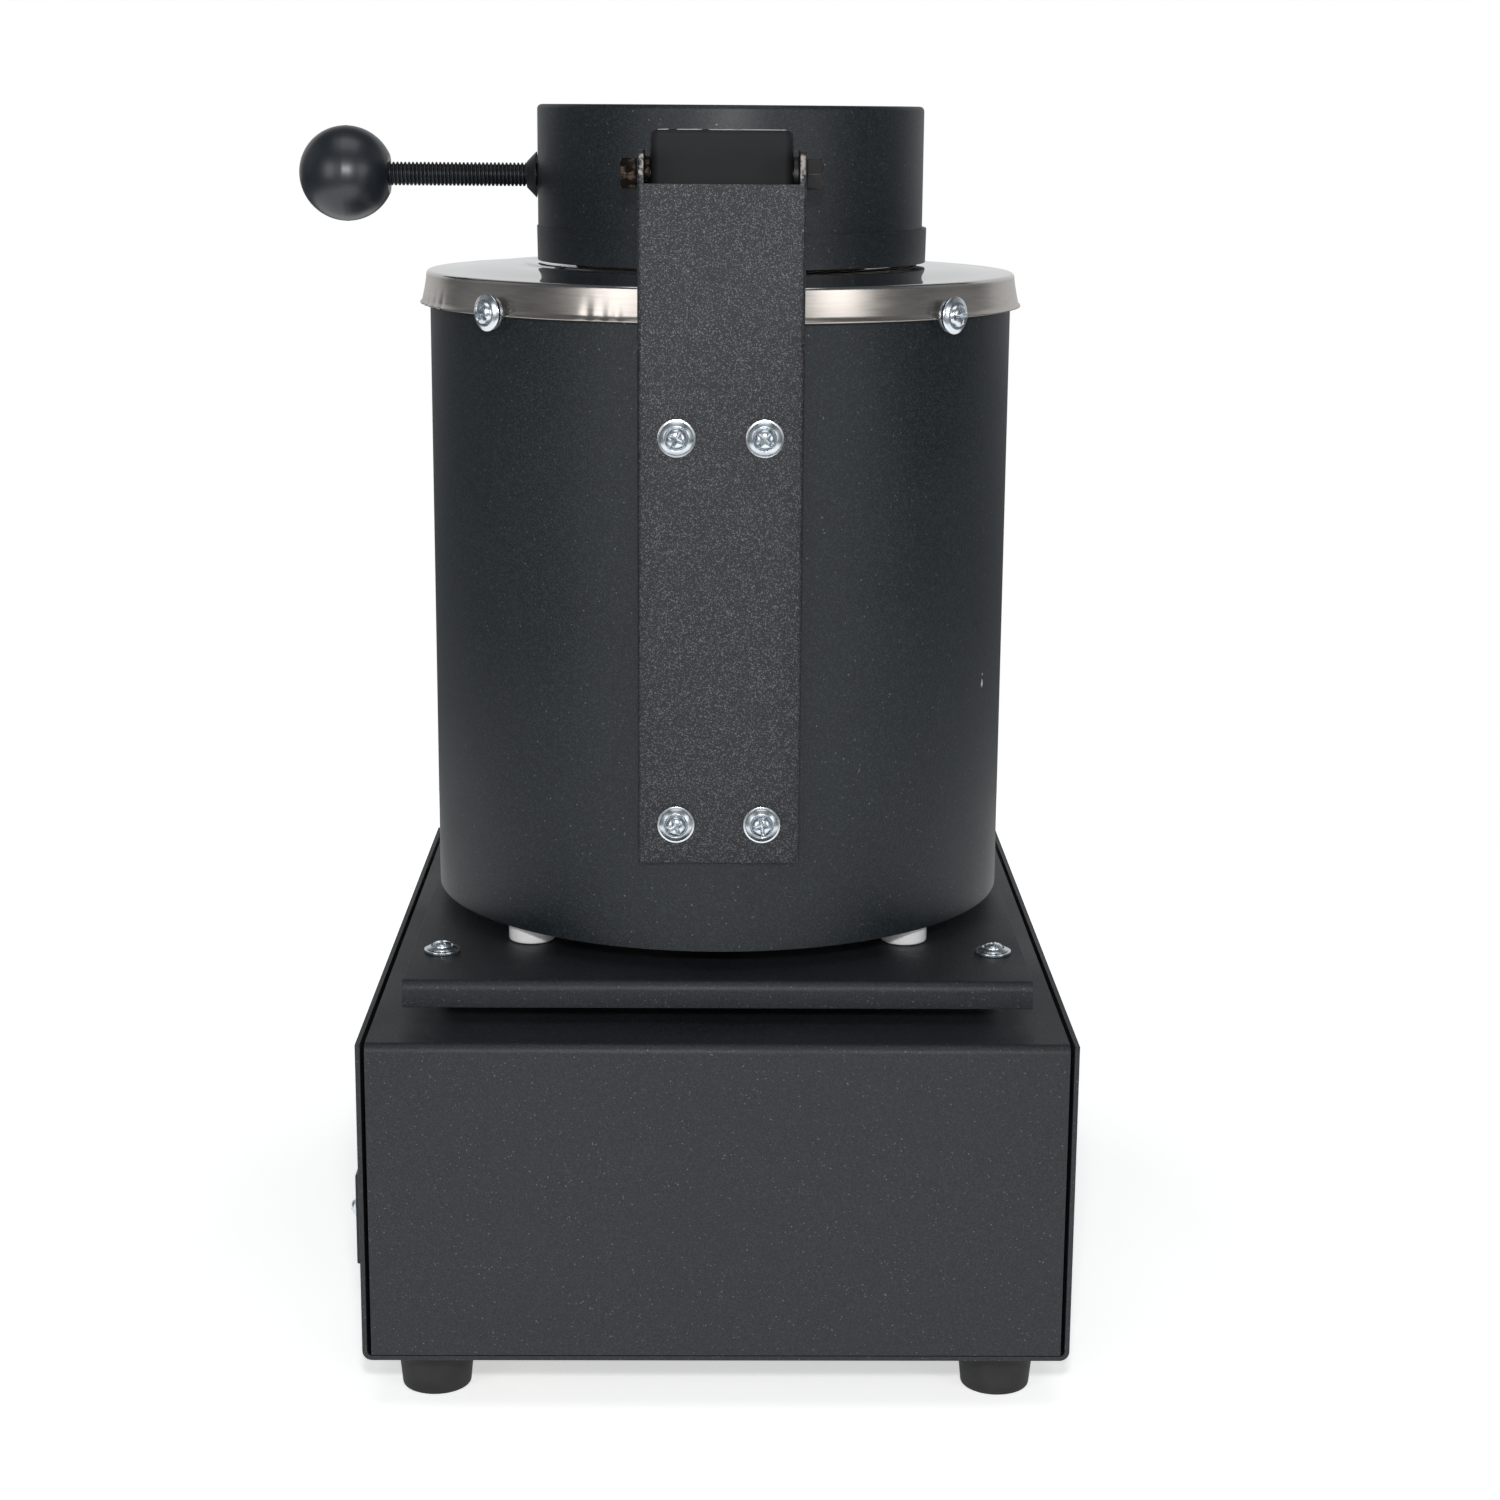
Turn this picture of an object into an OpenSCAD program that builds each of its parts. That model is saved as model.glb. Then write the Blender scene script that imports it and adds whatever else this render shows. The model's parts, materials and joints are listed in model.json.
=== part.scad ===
// Electric gold melting furnace: a steel base box with a temperature controller, a round
// heating tower on ceramic standoffs, and a hinged lid with a ball handle.
// Origin: centre of the base box's footprint, on the surface that the feet stand on.
// The control panel faces -Y, the lid hinge is at +Y, the handle and the power inlet are at +X.

/* [Base box] */
// Width of the base box over the tray's sides
box_w = 173; // [165:1:190]
// Depth of the base box, front to rear
box_d = 207; // [200:1:230]
// Height of the base box without its feet
box_h = 81; // [78:1:100]
// Thickness of the folded steel sheet
sheet_t = 1.2; // [0.8:0.1:1.6]
// Outside radius of the folds in the sheet
bend_r = 2.4; // [2:0.1:4]
// Gap between the cover's cut edges and the tray
cover_gap = 1; // [0.5:0.1:1.5]
// Height of the flanges that hang inside the tray's sides
cover_flange_h = 13; // [11:0.5:18]
// Distance of the cover screws from the box's front and rear faces
cover_screw_inset = 18; // [12:1:25]

/* [Feet] */
// Height of a rubber foot
foot_h = 13; // [8:0.5:20]
// Diameter of a foot where it meets the tray
foot_d = 19.4; // [16:0.2:24]
// Diameter of a foot where it meets the floor
foot_end_d = 17; // [12:0.2:20]
// Distance of a foot's centre from the box's side and end faces
foot_inset = 16.5; // [14:0.5:30]

/* [Platform] */
// Width of the platform that carries the tower
platform_w = 153.8; // [150:0.2:160]
// Depth of the platform over its two flanges
platform_d = 168.6; // [160:0.2:180]
// Height of the platform's flanges
flange_h = 6.6; // [4:0.2:10]
// Air gap between the flanges and the base box
platform_gap = 4; // [2:0.5:10]
// Distance of the platform's screws from its side edges
platform_screw_side = 7.5; // [6:0.5:12]
// Distance of the platform's screws from its flanges
platform_screw_end = 25; // [10:0.5:30]
// Diameter of the spacer tubes under the platform
spacer_d = 9; // [8:0.5:12]

/* [Tower] */
// Distance of the tower's axis behind the middle of the box
tower_y = 2.8; // [-2:0.2:8]
// Outside diameter of the furnace shell
shell_d = 150; // [144:1:152]
// Height of the furnace shell
shell_h = 161; // [150:1:180]
// Height of the ceramic standoffs under the shell
standoff_h = 5; // [4:0.5:12]
// Diameter of a ceramic standoff
standoff_d = 11.8; // [10:0.2:14]
// Distance of each standoff from the planes that touch the shell's sides
standoff_in = 27.5; // [26:0.5:31]
// Thickness of the fibre board under the heating chamber
board_t = 24; // [18:1:40]
// Inside diameter of the ceramic muffle
muffle_id = 60; // [58:0.5:64]
// Wall of the ceramic muffle
muffle_wall = 8; // [6:0.5:10]
// Gap between the muffle's mouth and the lid's lining
seat_gap = 0.3; // [0.3:0.1:0.5]
// Diameter of the resistance wire
coil_wire_d = 2.2; // [1.6:0.1:2.6]
// Number of turns of the heating coil
coil_turns = 12; // [8:1:14]
// Free height under and over the heating coil
coil_margin = 10; // [6:0.5:16]
// Height of the brick that the crucible stands on
pedestal_h = 15; // [10:1:25]

/* [Crucible] */
// Height of the graphite crucible
crucible_h = 110; // [90:1:112]
// Diameter of the crucible's collar
crucible_d = 54; // [50:0.5:56]
// Inside diameter of the crucible
crucible_id = 36; // [30:0.5:40]
// Height of the crucible's collar
crucible_collar_h = 8; // [5:0.5:12]
// Thickness of the crucible's floor
crucible_floor = 9; // [6:0.5:14]

/* [Top plate] */
// Thickness of the stainless top plate
top_t = 0.6; // [0.4:0.1:1]
// Height of the plate's raised middle above its edge
plate_rise = 1.9; // [0:0.1:3]
// Width of the plate's flat middle beyond the lid's wall
plate_flat_over = 3; // [2:0.5:8]
// Height of the top plate's turned-down rim
rim_h = 8.3; // [6:0.1:12]
// Outward flare of the rim at its lower edge
rim_flare = 1.8; // [0:0.1:2]
// Radius of the fold between the plate and its rim
rim_fold_r = 1.4; // [1.2:0.1:2.5]
// Height of the rim screws above the rim's lower edge
rim_screw_up = 0.8; // [0:0.1:2]

/* [Lid] */
// Outside diameter of the lid
lid_d = 99; // [94:0.5:104]
// Height of the lid
lid_h = 39; // [34:0.2:44]
// Gap between the lid and the top plate's raised middle
lid_gap = 0.6; // [0.5:0.1:3]
// Sideways place of the lid on the tower
lid_x = -2.4; // [-3:0.1:3]
// Height of the hoop round the lid's lower edge
band_h = 8.6; // [5:0.2:12]
// Thickness of the hoop
band_t = 0.7; // [0.7:0.1:1]
// Sideways offset of the hoop on the lid
band_shift = 0.4; // [0:0.1:0.4]
// Taper of the hoop's outside towards its lower edge
band_taper = 0.15; // [0:0.05:0.15]

/* [Handle] */
// Diameter of the handle rod, a threaded stud
rod_d = 6; // [5:0.5:8]
// Length of rod between the lid and the ball's centre
rod_reach = 49.1; // [40:0.5:70]
// Height of the rod above the lid's lower edge
rod_up = 21.3; // [16:0.1:24]
// Diameter of the ball knob
ball_d = 24.2; // [20:0.2:30]

/* [Hinge] */
// Width of the hinge bracket
bracket_w = 39.2; // [36:0.2:44]
// Height of the hinge bracket's back plate
bracket_h = 162; // [150:1:165]
// Thickness of the hinge bracket and the lug
bracket_t = 1.5; // [1.2:0.1:2]
// Radius of the bracket's rear edges
bracket_edge_r = 1.1; // [0.5:0.1:1.1]
// Gap between the shell and the bracket's back plate
bracket_gap = 0.5; // [0.4:0.1:0.9]
// Height of the pivot above the lid's lower edge
pivot_up = 23.2; // [20:0.1:26]
// Distance of the pivot in front of the bracket's back plate
pivot_in = 11.2; // [11:0.1:12]
// Height of the pivot above the back plate's top edge
pivot_over_plate = 2.1; // [1:0.1:3]
// Radius of the ears round the pivot
ear_r = 5.5; // [5:0.1:7]
// Width of the lug between the ears
lug_w = 33.4; // [30:0.2:34]
// Height of the lug above the pivot
lug_up = 10.4; // [8:0.1:10.5]
// Height of the lug below the pivot
lug_down = 11; // [8:0.5:11]
// Distance of the lug's web behind the pivot
lug_back = 3.8; // [3.6:0.1:3.9]
// Depth of the relief slot at each fold of the ears
relief_d = 1.6; // [1:0.1:2.5]
// Distance of the relief slots below the back plate's top edge
relief_down = 37.3; // [34:0.1:45]
// Sideways distance between the bracket's screws
bracket_screw_x = 20.8; // [16:0.2:24]
// Distance of the upper screws below the back plate's top edge
bracket_screw_top = 58.6; // [50:0.2:70]
// Distance of the lower screws above the back plate's lower edge
bracket_screw_low = 9.7; // [7:0.1:15]

/* [Fasteners] */
// Thread diameter of the frame screws
screw_d = 4; // [3:0.5:4.5]
// Diameter of the frame screws' flanged heads
head_d = 9; // [8:0.1:10]
// Thread diameter of the small screws
small_screw_d = 3; // [2.5:0.1:3]
// Added to a screw's diameter for its hole
hole_fit = 0.3; // [0.2:0.05:0.6]
// Radial running clearance of a pin in its hole
pin_fit = 0.06; // [0.02:0.01:0.1]
// Gap left between pieces that are laid on each other
lay_gap = 0.2; // [0.1:0.05:0.3]

/* [Control panel] */
// Width of the controller's front frame
bezel_w = 96; // [92:1:100]
// Height of the controller's front frame
bezel_h = 48; // [46:1:54]
// Depth of the controller's front frame
bezel_d = 8; // [7.6:0.1:10]
// Depth of the controller's case behind the panel
case_d = 70; // [50:1:80]
// Sideways place of the controller
controller_x = -22; // [-26:1:-18]
// Height of the controller's centre above the box's floor
controller_up = 45; // [42:1:48]
// Width of a key on the controller
key_w = 12; // [9:0.5:14]
// Height of a key on the controller
key_h = 6; // [5:0.5:7]
// Travel of a key
key_travel = 0.8; // [0.4:0.1:1]
// Sideways place of the power switch and the lamps
switch_x = 60; // [54:1:66]
// Height of the power switch's centre above the box's floor
switch_up = 28; // [22:1:36]
// Tilt of the power rocker from its middle to each end
rocker_tilt = 10; // [5:1:11]
// Height of the lamps above the box's floor
lamp_up = 60; // [56:1:64]
// Sideways distance between the two lamps
lamp_pitch = 20; // [16:1:24]
// Diameter of a lamp's lens
lamp_d = 9; // [7:0.5:11]

/* [Power inlet] */
// Length of the inlet's flange along the box
inlet_w = 50; // [48:1:56]
// Height of the inlet's flange
inlet_h = 27; // [25:0.5:30]
// Thickness of the inlet's flange
inlet_t = 4; // [3:0.5:6]
// Place of the inlet's centre behind the middle of the box
inlet_y = 53; // [48:1:56]
// Height of the inlet's centre above the box's floor
inlet_up = 26.5; // [22:0.5:34]

/* [Hidden] */
$fn = 64;

// Heights, from the floor up
tray_z = foot_h;
floor_z = tray_z + sheet_t;
box_top_z = tray_z + box_h;
flange_z = box_top_z + platform_gap;
platform_z = flange_z + flange_h;
shell_z = platform_z + standoff_h;
shell_floor_t = 1.5;
board_z = shell_z + shell_floor_t + lay_gap;
chamber_z = board_z + board_t;
shell_top_z = shell_z + shell_h;
top_z = shell_top_z + top_t;
rim_z = top_z - rim_h;
mouth_z = top_z + plate_rise;
lid_z = mouth_z + lid_gap;
muffle_top_z = lid_z - seat_gap;
pivot_z = lid_z + pivot_up;
plate_top_z = pivot_z - pivot_over_plate;
plate_z = plate_top_z - bracket_h;
rod_z = lid_z + rod_up;
crucible_z = chamber_z + pedestal_h + lay_gap;

// Radii and places in plan
shell_r = shell_d / 2;
shell_wall = 1.2;
shell_in_r = shell_r - shell_wall;
lid_r = lid_d / 2;
lid_wall = 1.2;
muffle_in_r = muffle_id / 2;
muffle_r = muffle_in_r + muffle_wall;
coil_steps = 20;
coil_r = (muffle_r + lay_gap + coil_wire_d / 2) / cos(180 / coil_steps);
jacket_in_r = coil_r + coil_wire_d / 2 + 1.8;
return_lead_r = jacket_in_r + 2;
rim_r = shell_r + 0.3 + top_t;
top_hole_r = muffle_r + 1.5;
plate_in_y = tower_y + shell_r + bracket_gap;
plate_y = plate_in_y + bracket_t;
pivot_y = plate_in_y - pivot_in;
cover_w = box_w - 2 * (sheet_t + cover_gap);
front_y = -box_d / 2;
side_x = box_w / 2;

// Sizes of standard hardware
screw_r = screw_d / 2;
hole_r = (screw_d + hole_fit) / 2;
nut_af = screw_d * 1.75;
nut_t = screw_d * 0.8;
head_h = screw_d * 0.6;
low_head_h = screw_d * 0.42;
washer_t = 0.8;
small_r = small_screw_d / 2;
small_hole_r = (small_screw_d + hole_fit) / 2;
small_head_d = small_screw_d * 1.9;
small_nut_af = small_screw_d * 1.83;
thread_tail = 1;

// Leads through the floor of the tower
lead_d = coil_wire_d;
bush_r = lead_d / 2 + 2.1;
bush_bore_r = lead_d / 2 + 0.3;
bush_hole_r = bush_r + 0.3;
bush_collar_r = bush_r + 2.3;
probe_d = 6;
probe_hole_r = probe_d / 2 + 0.3;
lead_end_z = box_top_z - 12;

// Control panel
window_w = bezel_w - 12;
window_h = bezel_h - 24;
window_t = 1.4;
window_ledge = 2;
bezel_wall = 2;
bezel_front_t = 2.5;
bezel_y = front_y - bezel_d;
bezel_in_y = bezel_y + bezel_front_t;
controller_z = floor_z + controller_up;
window_z = controller_z + bezel_h / 2 - 5 - window_h / 2;
key_z = controller_z - bezel_h / 2 + 5 + key_h / 2;
key_pitch = (window_w - key_w) / 3;
key_proud = 1.2;
key_flange = 1;
case_w = bezel_w - 6;
case_h = bezel_h - 5;
case_wall = 2;
board_thick = 1.6;
switch_z = floor_z + switch_up;
switch_w = 15;
switch_h = 21;
switch_flange_t = 2;
switch_body_d = 18;
rocker_w = 10;
rocker_l = 15.2;
rocker_pin_r = 1;
lamp_z = floor_z + lamp_up;
lamp_body_r = lamp_d / 2 - 0.8;

// Power inlet
inlet_z = floor_z + inlet_up;
inlet_bevel = 3.5;
socket_w = 24.5;
socket_h = 17;
socket_depth = 18;
inlet_body_w = socket_w + 3.5;
inlet_body_h = socket_h + 3.5;
inlet_screw_pitch = 40;
pin_tail = 8;

// Electrical parts on the tray's floor
sink_w = 60;
sink_d = 62;
sink_h = 16;
sink_x = -44;
sink_y = 46;
relay_w = 45;
relay_d = 58;
relay_h = 22;
relay_z = floor_z + sink_h + 2 * lay_gap;
block_x = 22;
block_y = 60;
block_w = 22;
block_d = 40;
block_h = 16;
earth_x = 48;
earth_y = 86;
wire_d = 2.8;

// Places of fasteners
function corners(x, y) = [for (sx = [-1, 1], sy = [-1, 1]) [sx * x, sy * y]];
foot_places = corners(side_x - foot_inset, box_d / 2 - foot_inset);
platform_screw_places = corners(
    platform_w / 2 - platform_screw_side,
    platform_d / 2 - platform_screw_end
);
standoff_xy = shell_r - standoff_in;
standoff_places = corners(standoff_xy, standoff_xy);
bracket_screw_zs = [plate_top_z - bracket_screw_top, plate_z + bracket_screw_low];
rim_screw_angles = [45, 135, 225, 315];

// Points along a route: a smooth curve through the given points
function bend(p, i, t) =
    let (
        a = p[max(i - 1, 0)],
        b = p[i],
        c = p[i + 1],
        d = p[min(i + 2, len(p) - 1)]
    )
    0.5 * (2 * b + (c - a) * t + (2 * a - 5 * b + 4 * c - d) * t * t
        + (3 * b - a - 3 * c + d) * t * t * t);
function smooth_route(p, steps) = concat(
    [for (i = [0:len(p) - 2], s = [0:steps - 1]) bend(p, i, s / steps)],
    [p[len(p) - 1]]
);
function unit(v) = v / norm(v);
function heading(p, i) = unit(p[min(i + 1, len(p) - 1)] - p[max(i - 1, 0)]);

// A round tube swept along a list of points
module swept_tube(p, r, sides) {
    guide = [0.31, 0.17, 0.94];
    rings = [
        for (i = [0:len(p) - 1])
            let (
                t = heading(p, i),
                u = unit(cross(t, guide)),
                v = cross(t, u)
            )
            for (s = [0:sides - 1])
                p[i] + r * (cos(360 * s / sides) * u + sin(360 * s / sides) * v)
    ];
    last = (len(p) - 1) * sides;
    walls = [
        for (i = [0:len(p) - 2], s = [0:sides - 1])
            let (
                a = i * sides + s,
                b = i * sides + (s + 1) % sides
            )
            for (corner = [[a, a + sides, b + sides], [a, b + sides, b]])
                corner
    ];
    first_cap = [for (s = [0:sides - 1]) s];
    last_cap = [for (s = [0:sides - 1]) last + sides - 1 - s];
    polyhedron(points = rings, faces = concat([first_cap, last_cap], walls));
}

// Rectangle with rounded corners
module rounded_rect(w, h, r) {
    square([w - 2 * r, h], center = true);
    square([w, h - 2 * r], center = true);
    for (c = corners(w / 2 - r, h / 2 - r)) {
        translate(c) circle(r = r);
    }
}

// A block with its edges along Y rounded, standing from y to y + depth
module panel_block(x, z, w, h, y, depth, r) {
    translate([x, y + depth, z])
        rotate([90, 0, 0])
            linear_extrude(height = depth) rounded_rect(w, h, r);
}

// Pan head screw with its washer: the seat is at z = 0 and the thread points down
module pan_screw(d, length, seat_d, dome_h) {
    difference() {
        rotate_extrude()
            polygon([
                [0, -length],
                [d / 2, -length],
                [d / 2, 0],
                [seat_d / 2, 0],
                [seat_d / 2, dome_h * 0.3],
                [seat_d * 0.36, dome_h * 0.38],
                [seat_d * 0.32, dome_h * 0.75],
                [seat_d * 0.22, dome_h],
                [0, dome_h]
            ]);
        for (a = [0, 90]) {
            rotate([0, 0, a])
                translate([0, 0, dome_h])
                    cube([seat_d * 0.36, seat_d * 0.09, dome_h * 0.9], center = true);
        }
    }
}

// Hexagon nut with its lower face at z = 0
module hex_nut(af, t, bore_r) {
    difference() {
        cylinder(d = af / cos(30), h = t, $fn = 6);
        translate([0, 0, -1]) cylinder(r = bore_r, h = t + 2);
    }
}

module washer(r, t, bore_r) {
    difference() {
        cylinder(r = r, h = t);
        translate([0, 0, -1]) cylinder(r = bore_r, h = t + 2);
    }
}

// A hole along Z through everything between z0 and z1
module z_hole(r, z0, z1) {
    translate([0, 0, z0 - 1]) cylinder(r = r, h = z1 - z0 + 2);
}

// Side view of a sheet folded into a channel, open downwards
module channel_outline(width, height, t, r) {
    difference() {
        union() {
            translate([-width / 2, 0]) square([width, height - r]);
            translate([-width / 2 + r, 0]) square([width - 2 * r, height]);
            for (s = [-1, 1]) {
                translate([s * (width / 2 - r), height - r]) circle(r = r);
            }
        }
        translate([-width / 2 + t, -1]) square([width - 2 * t, height - r + 1]);
        translate([-width / 2 + r, -1]) square([width - 2 * r, height - t + 1]);
        for (s = [-1, 1]) {
            translate([s * (width / 2 - r), height - r]) circle(r = r - t);
        }
    }
}

// The holes through box top, platform and shell floor for the leads and the probe
module lead_holes(z0, z1) {
    translate([0, tower_y, 0]) {
        translate([coil_r, 0, 0]) z_hole(bush_hole_r, z0, z1);
        translate([-return_lead_r, 0, 0]) z_hole(bush_hole_r, z0, z1);
        z_hole(probe_hole_r, z0, z1);
    }
}

module at_side_screws() {
    for (s = [-1, 1], y = [-1, 1]) {
        translate([
            s * side_x,
            y * (box_d / 2 - cover_screw_inset),
            box_top_z - cover_flange_h / 2 - sheet_t / 2
        ])
            rotate([0, s * 90, 0]) children();
    }
}

module at_inlet_screws() {
    for (s = [-1, 1]) {
        translate([side_x, inlet_y + s * inlet_screw_pitch / 2, inlet_z])
            rotate([0, 90, 0]) children();
    }
}

// Lower half of the base box: floor and both sides folded from one sheet
module chassis_tray() {
    color("#2b2d30")
    difference() {
        translate([0, box_d / 2, box_top_z])
            rotate([90, 0, 0])
                rotate([0, 0, 180])
                    linear_extrude(height = box_d)
                        channel_outline(box_w, box_h, sheet_t, bend_r);
        for (p = foot_places) {
            translate(p) z_hole(hole_r, tray_z, floor_z);
        }
        at_side_screws() z_hole(small_hole_r, -2 * sheet_t, sheet_t);
        at_inlet_screws() z_hole(small_hole_r, -2 * sheet_t, sheet_t);
        translate([side_x, inlet_y, inlet_z])
            cube([
                4 * sheet_t,
                inlet_body_w + 2 * lay_gap,
                inlet_body_h + 2 * lay_gap
            ], center = true);
        translate([earth_x, earth_y, 0]) z_hole(hole_r, tray_z, floor_z);
    }
}

// Upper half of the base box: front panel, top and rear folded from one sheet
module chassis_cover() {
    flange_x = cover_w / 2 - sheet_t;
    cover_z = floor_z + lay_gap;
    color("#303236")
    difference() {
        union() {
            translate([-cover_w / 2, 0, cover_z])
                rotate([90, 0, 90])
                    linear_extrude(height = cover_w)
                        channel_outline(box_d, box_top_z - cover_z, sheet_t, bend_r);
            for (s = [0, 1]) {
                mirror([s, 0, 0])
                    translate([
                        flange_x,
                        -box_d / 2 + bend_r,
                        box_top_z - cover_flange_h
                    ])
                        cube([sheet_t, box_d - 2 * bend_r, cover_flange_h - sheet_t / 2]);
            }
        }
        at_side_screws() z_hole(small_hole_r, -4 * sheet_t - cover_gap, 0);
        for (p = platform_screw_places) {
            translate([p[0], p[1] + tower_y, 0]) z_hole(hole_r, box_top_z - 3, box_top_z);
        }
        lead_holes(box_top_z - 3, box_top_z);
        translate([controller_x, front_y, controller_z])
            cube([case_w + 1, 4 * sheet_t, case_h + 1], center = true);
        translate([switch_x, front_y, switch_z])
            cube([switch_w - 1.6, 4 * sheet_t, switch_h - 1.6], center = true);
        for (s = [-1, 1]) {
            translate([switch_x + s * lamp_pitch / 2, front_y, lamp_z])
                rotate([90, 0, 0])
                    cylinder(r = lamp_body_r + lay_gap, h = 8 * sheet_t, center = true);
        }
    }
}

module cover_screws() {
    color("silver")
    at_side_screws() {
        translate([0, 0, lay_gap / 2])
            pan_screw(
                small_screw_d,
                2 * sheet_t + cover_gap + 3,
                small_head_d,
                small_screw_d * 0.55
            );
    }
}

// Tapered rubber foot, hollow below for its screw's head
module rubber_feet() {
    color("#161616")
    for (p = foot_places) {
        translate(p) {
            difference() {
                cylinder(d1 = foot_end_d, d2 = foot_d, h = foot_h - lay_gap / 2);
                translate([0, 0, -1]) cylinder(d = head_d + 0.6, h = foot_h - 3);
                cylinder(r = hole_r, h = foot_h + 1);
            }
        }
    }
}

// Screws through the feet, with their nuts on the tray's floor
module foot_screws() {
    seat = foot_h - 4 - lay_gap;
    color("silver")
    for (p = foot_places) {
        translate([p[0], p[1], seat])
            rotate([180, 0, 0])
                pan_screw(screw_d, 4 + sheet_t + nut_t + thread_tail, head_d, head_h);
        translate([p[0], p[1], floor_z + lay_gap / 2]) hex_nut(nut_af, nut_t, screw_r + pin_fit);
    }
}

// Moulded appliance inlet: a bevelled flange outside, a socket block inside
module inlet_housing() {
    back_x = side_x - socket_depth - 1;
    color("#1c1c1e")
    difference() {
        union() {
            translate([side_x + lay_gap / 2, inlet_y + inlet_w / 2, inlet_z - inlet_h / 2])
                rotate([90, 0, 0])
                    linear_extrude(height = inlet_w)
                        polygon([
                            [0, 0],
                            [inlet_t, 0],
                            [inlet_t, inlet_h - inlet_bevel],
                            [0.6, inlet_h],
                            [0, inlet_h]
                        ]);
            translate([
                back_x,
                inlet_y - inlet_body_w / 2,
                inlet_z - inlet_body_h / 2
            ])
                cube([side_x + inlet_t - back_x - 1, inlet_body_w, inlet_body_h]);
        }
        translate([
            side_x + inlet_t - socket_depth,
            inlet_y - socket_w / 2,
            inlet_z - socket_h / 2
        ])
            cube([socket_depth + 2, socket_w, socket_h]);
        at_inlet_screws() z_hole(small_hole_r, 0, inlet_t + 2);
        for (p = inlet_pin_places) {
            translate([back_x - 1, inlet_y + p[0] - 2.1, inlet_z + p[1] - 1.1])
                cube([inlet_t + 4, 4.2, 2.2]);
        }
    }
}

inlet_pin_places = [[-7, -1.8], [0, 2.2], [7, -1.8]];

module inlet_pins() {
    back_x = side_x - socket_depth - 1 - pin_tail;
    color("#c8b560")
    for (p = inlet_pin_places) {
        translate([back_x, inlet_y + p[0] - 2, inlet_z + p[1] - 1])
            cube([pin_tail + socket_depth - 1, 4, 2]);
    }
}

module inlet_screws() {
    color("silver")
    at_inlet_screws() {
        translate([0, 0, inlet_t + lay_gap])
            pan_screw(
                small_screw_d,
                inlet_t + sheet_t + 5,
                small_head_d,
                small_screw_d * 0.55
            );
        translate([0, 0, -sheet_t - 2.4 - lay_gap])
            hex_nut(small_nut_af, 2.4, small_r + pin_fit);
    }
}

// Front frame of the temperature controller, with openings for window and keys
module controller_bezel() {
    color("#202124")
    difference() {
        panel_block(controller_x, controller_z, bezel_w, bezel_h, bezel_y, bezel_d - 0.1, 2);
        translate([controller_x, bezel_in_y + bezel_d / 2, controller_z])
            cube([bezel_w - 2 * bezel_wall, bezel_d, bezel_h - 2 * bezel_wall], center = true);
        translate([controller_x, bezel_y, window_z])
            cube([
                window_w + 2 * lay_gap,
                2 * (window_t + lay_gap / 2),
                window_h + 2 * lay_gap
            ], center = true);
        translate([controller_x, bezel_y, window_z])
            cube([
                window_w - 2 * window_ledge,
                3 * bezel_front_t,
                window_h - 2 * window_ledge
            ], center = true);
        for (i = [0:3]) {
            translate([key_x(i), bezel_y, key_z])
                cube([key_w + 0.4, 3 * bezel_front_t, key_h + 0.4], center = true);
        }
    }
}

function key_x(i) = controller_x + (i - 1.5) * key_pitch;

module controller_window() {
    color("#3a1010")
    translate([controller_x, bezel_y + window_t / 2, window_z])
        cube([window_w, window_t, window_h], center = true);
}

// Push key with a hidden flange that keeps it in the frame
module controller_key(i) {
    color("#8a8d92")
    union() {
        translate([key_x(i), bezel_in_y - 0.5, key_z])
            translate([0, -(bezel_front_t + key_proud - 0.5) / 2, 0])
                cube([key_w, bezel_front_t + key_proud + 0.5, key_h], center = true);
        translate([key_x(i), bezel_in_y + 0.1 + key_flange / 2, key_z])
            cube([key_w + 2, key_flange, key_h + 1.6], center = true);
    }
}

module key_set() {
    controller_key(0);
}

module key_shift() {
    controller_key(1);
}

module key_down() {
    controller_key(2);
}

module key_up() {
    controller_key(3);
}

// Circuit board behind the keys, with the lit display
module display_board() {
    board_y = bezel_in_y + 0.1 + key_flange + key_travel + 0.3;
    display_d = board_y - bezel_in_y - 0.6;
    color("#1d5a34")
    translate([controller_x, board_y + board_thick / 2, controller_z])
        cube([
            bezel_w - 2 * bezel_wall - 0.6,
            board_thick,
            bezel_h - 2 * bezel_wall - 0.6
        ], center = true);
    color("#1a1a1a")
    translate([controller_x, board_y - display_d / 2, window_z])
        cube([window_w - 8, display_d + 0.2, window_h - 6], center = true);
}

// Open-fronted case of the controller, pushed through the panel
module controller_case() {
    color("#2a2a2c")
    difference() {
        translate([controller_x, front_y + case_d / 2, controller_z])
            cube([case_w, case_d, case_h], center = true);
        translate([controller_x, front_y + case_d / 2 - case_wall, controller_z])
            cube([case_w - 2 * case_wall, case_d, case_h - 2 * case_wall], center = true);
    }
}

// Angle clips that pull the controller against the panel
module controller_clamps() {
    clamp_w = 5;
    clamp_d = 30;
    color("silver")
    for (s = [-1, 1]) {
        translate([
            controller_x + s * (case_w / 2 + lay_gap + clamp_w / 2),
            front_y + sheet_t + lay_gap + clamp_d / 2,
            controller_z
        ])
            cube([clamp_w, clamp_d, 10], center = true);
    }
}

module main_board() {
    color("#1d5a34")
    translate([
        controller_x,
        front_y + case_d / 2,
        controller_z - case_h / 2 + case_wall + lay_gap + board_thick / 2
    ])
        cube([case_w - 2 * case_wall - 1, case_d - 10, board_thick], center = true);
}

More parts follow.
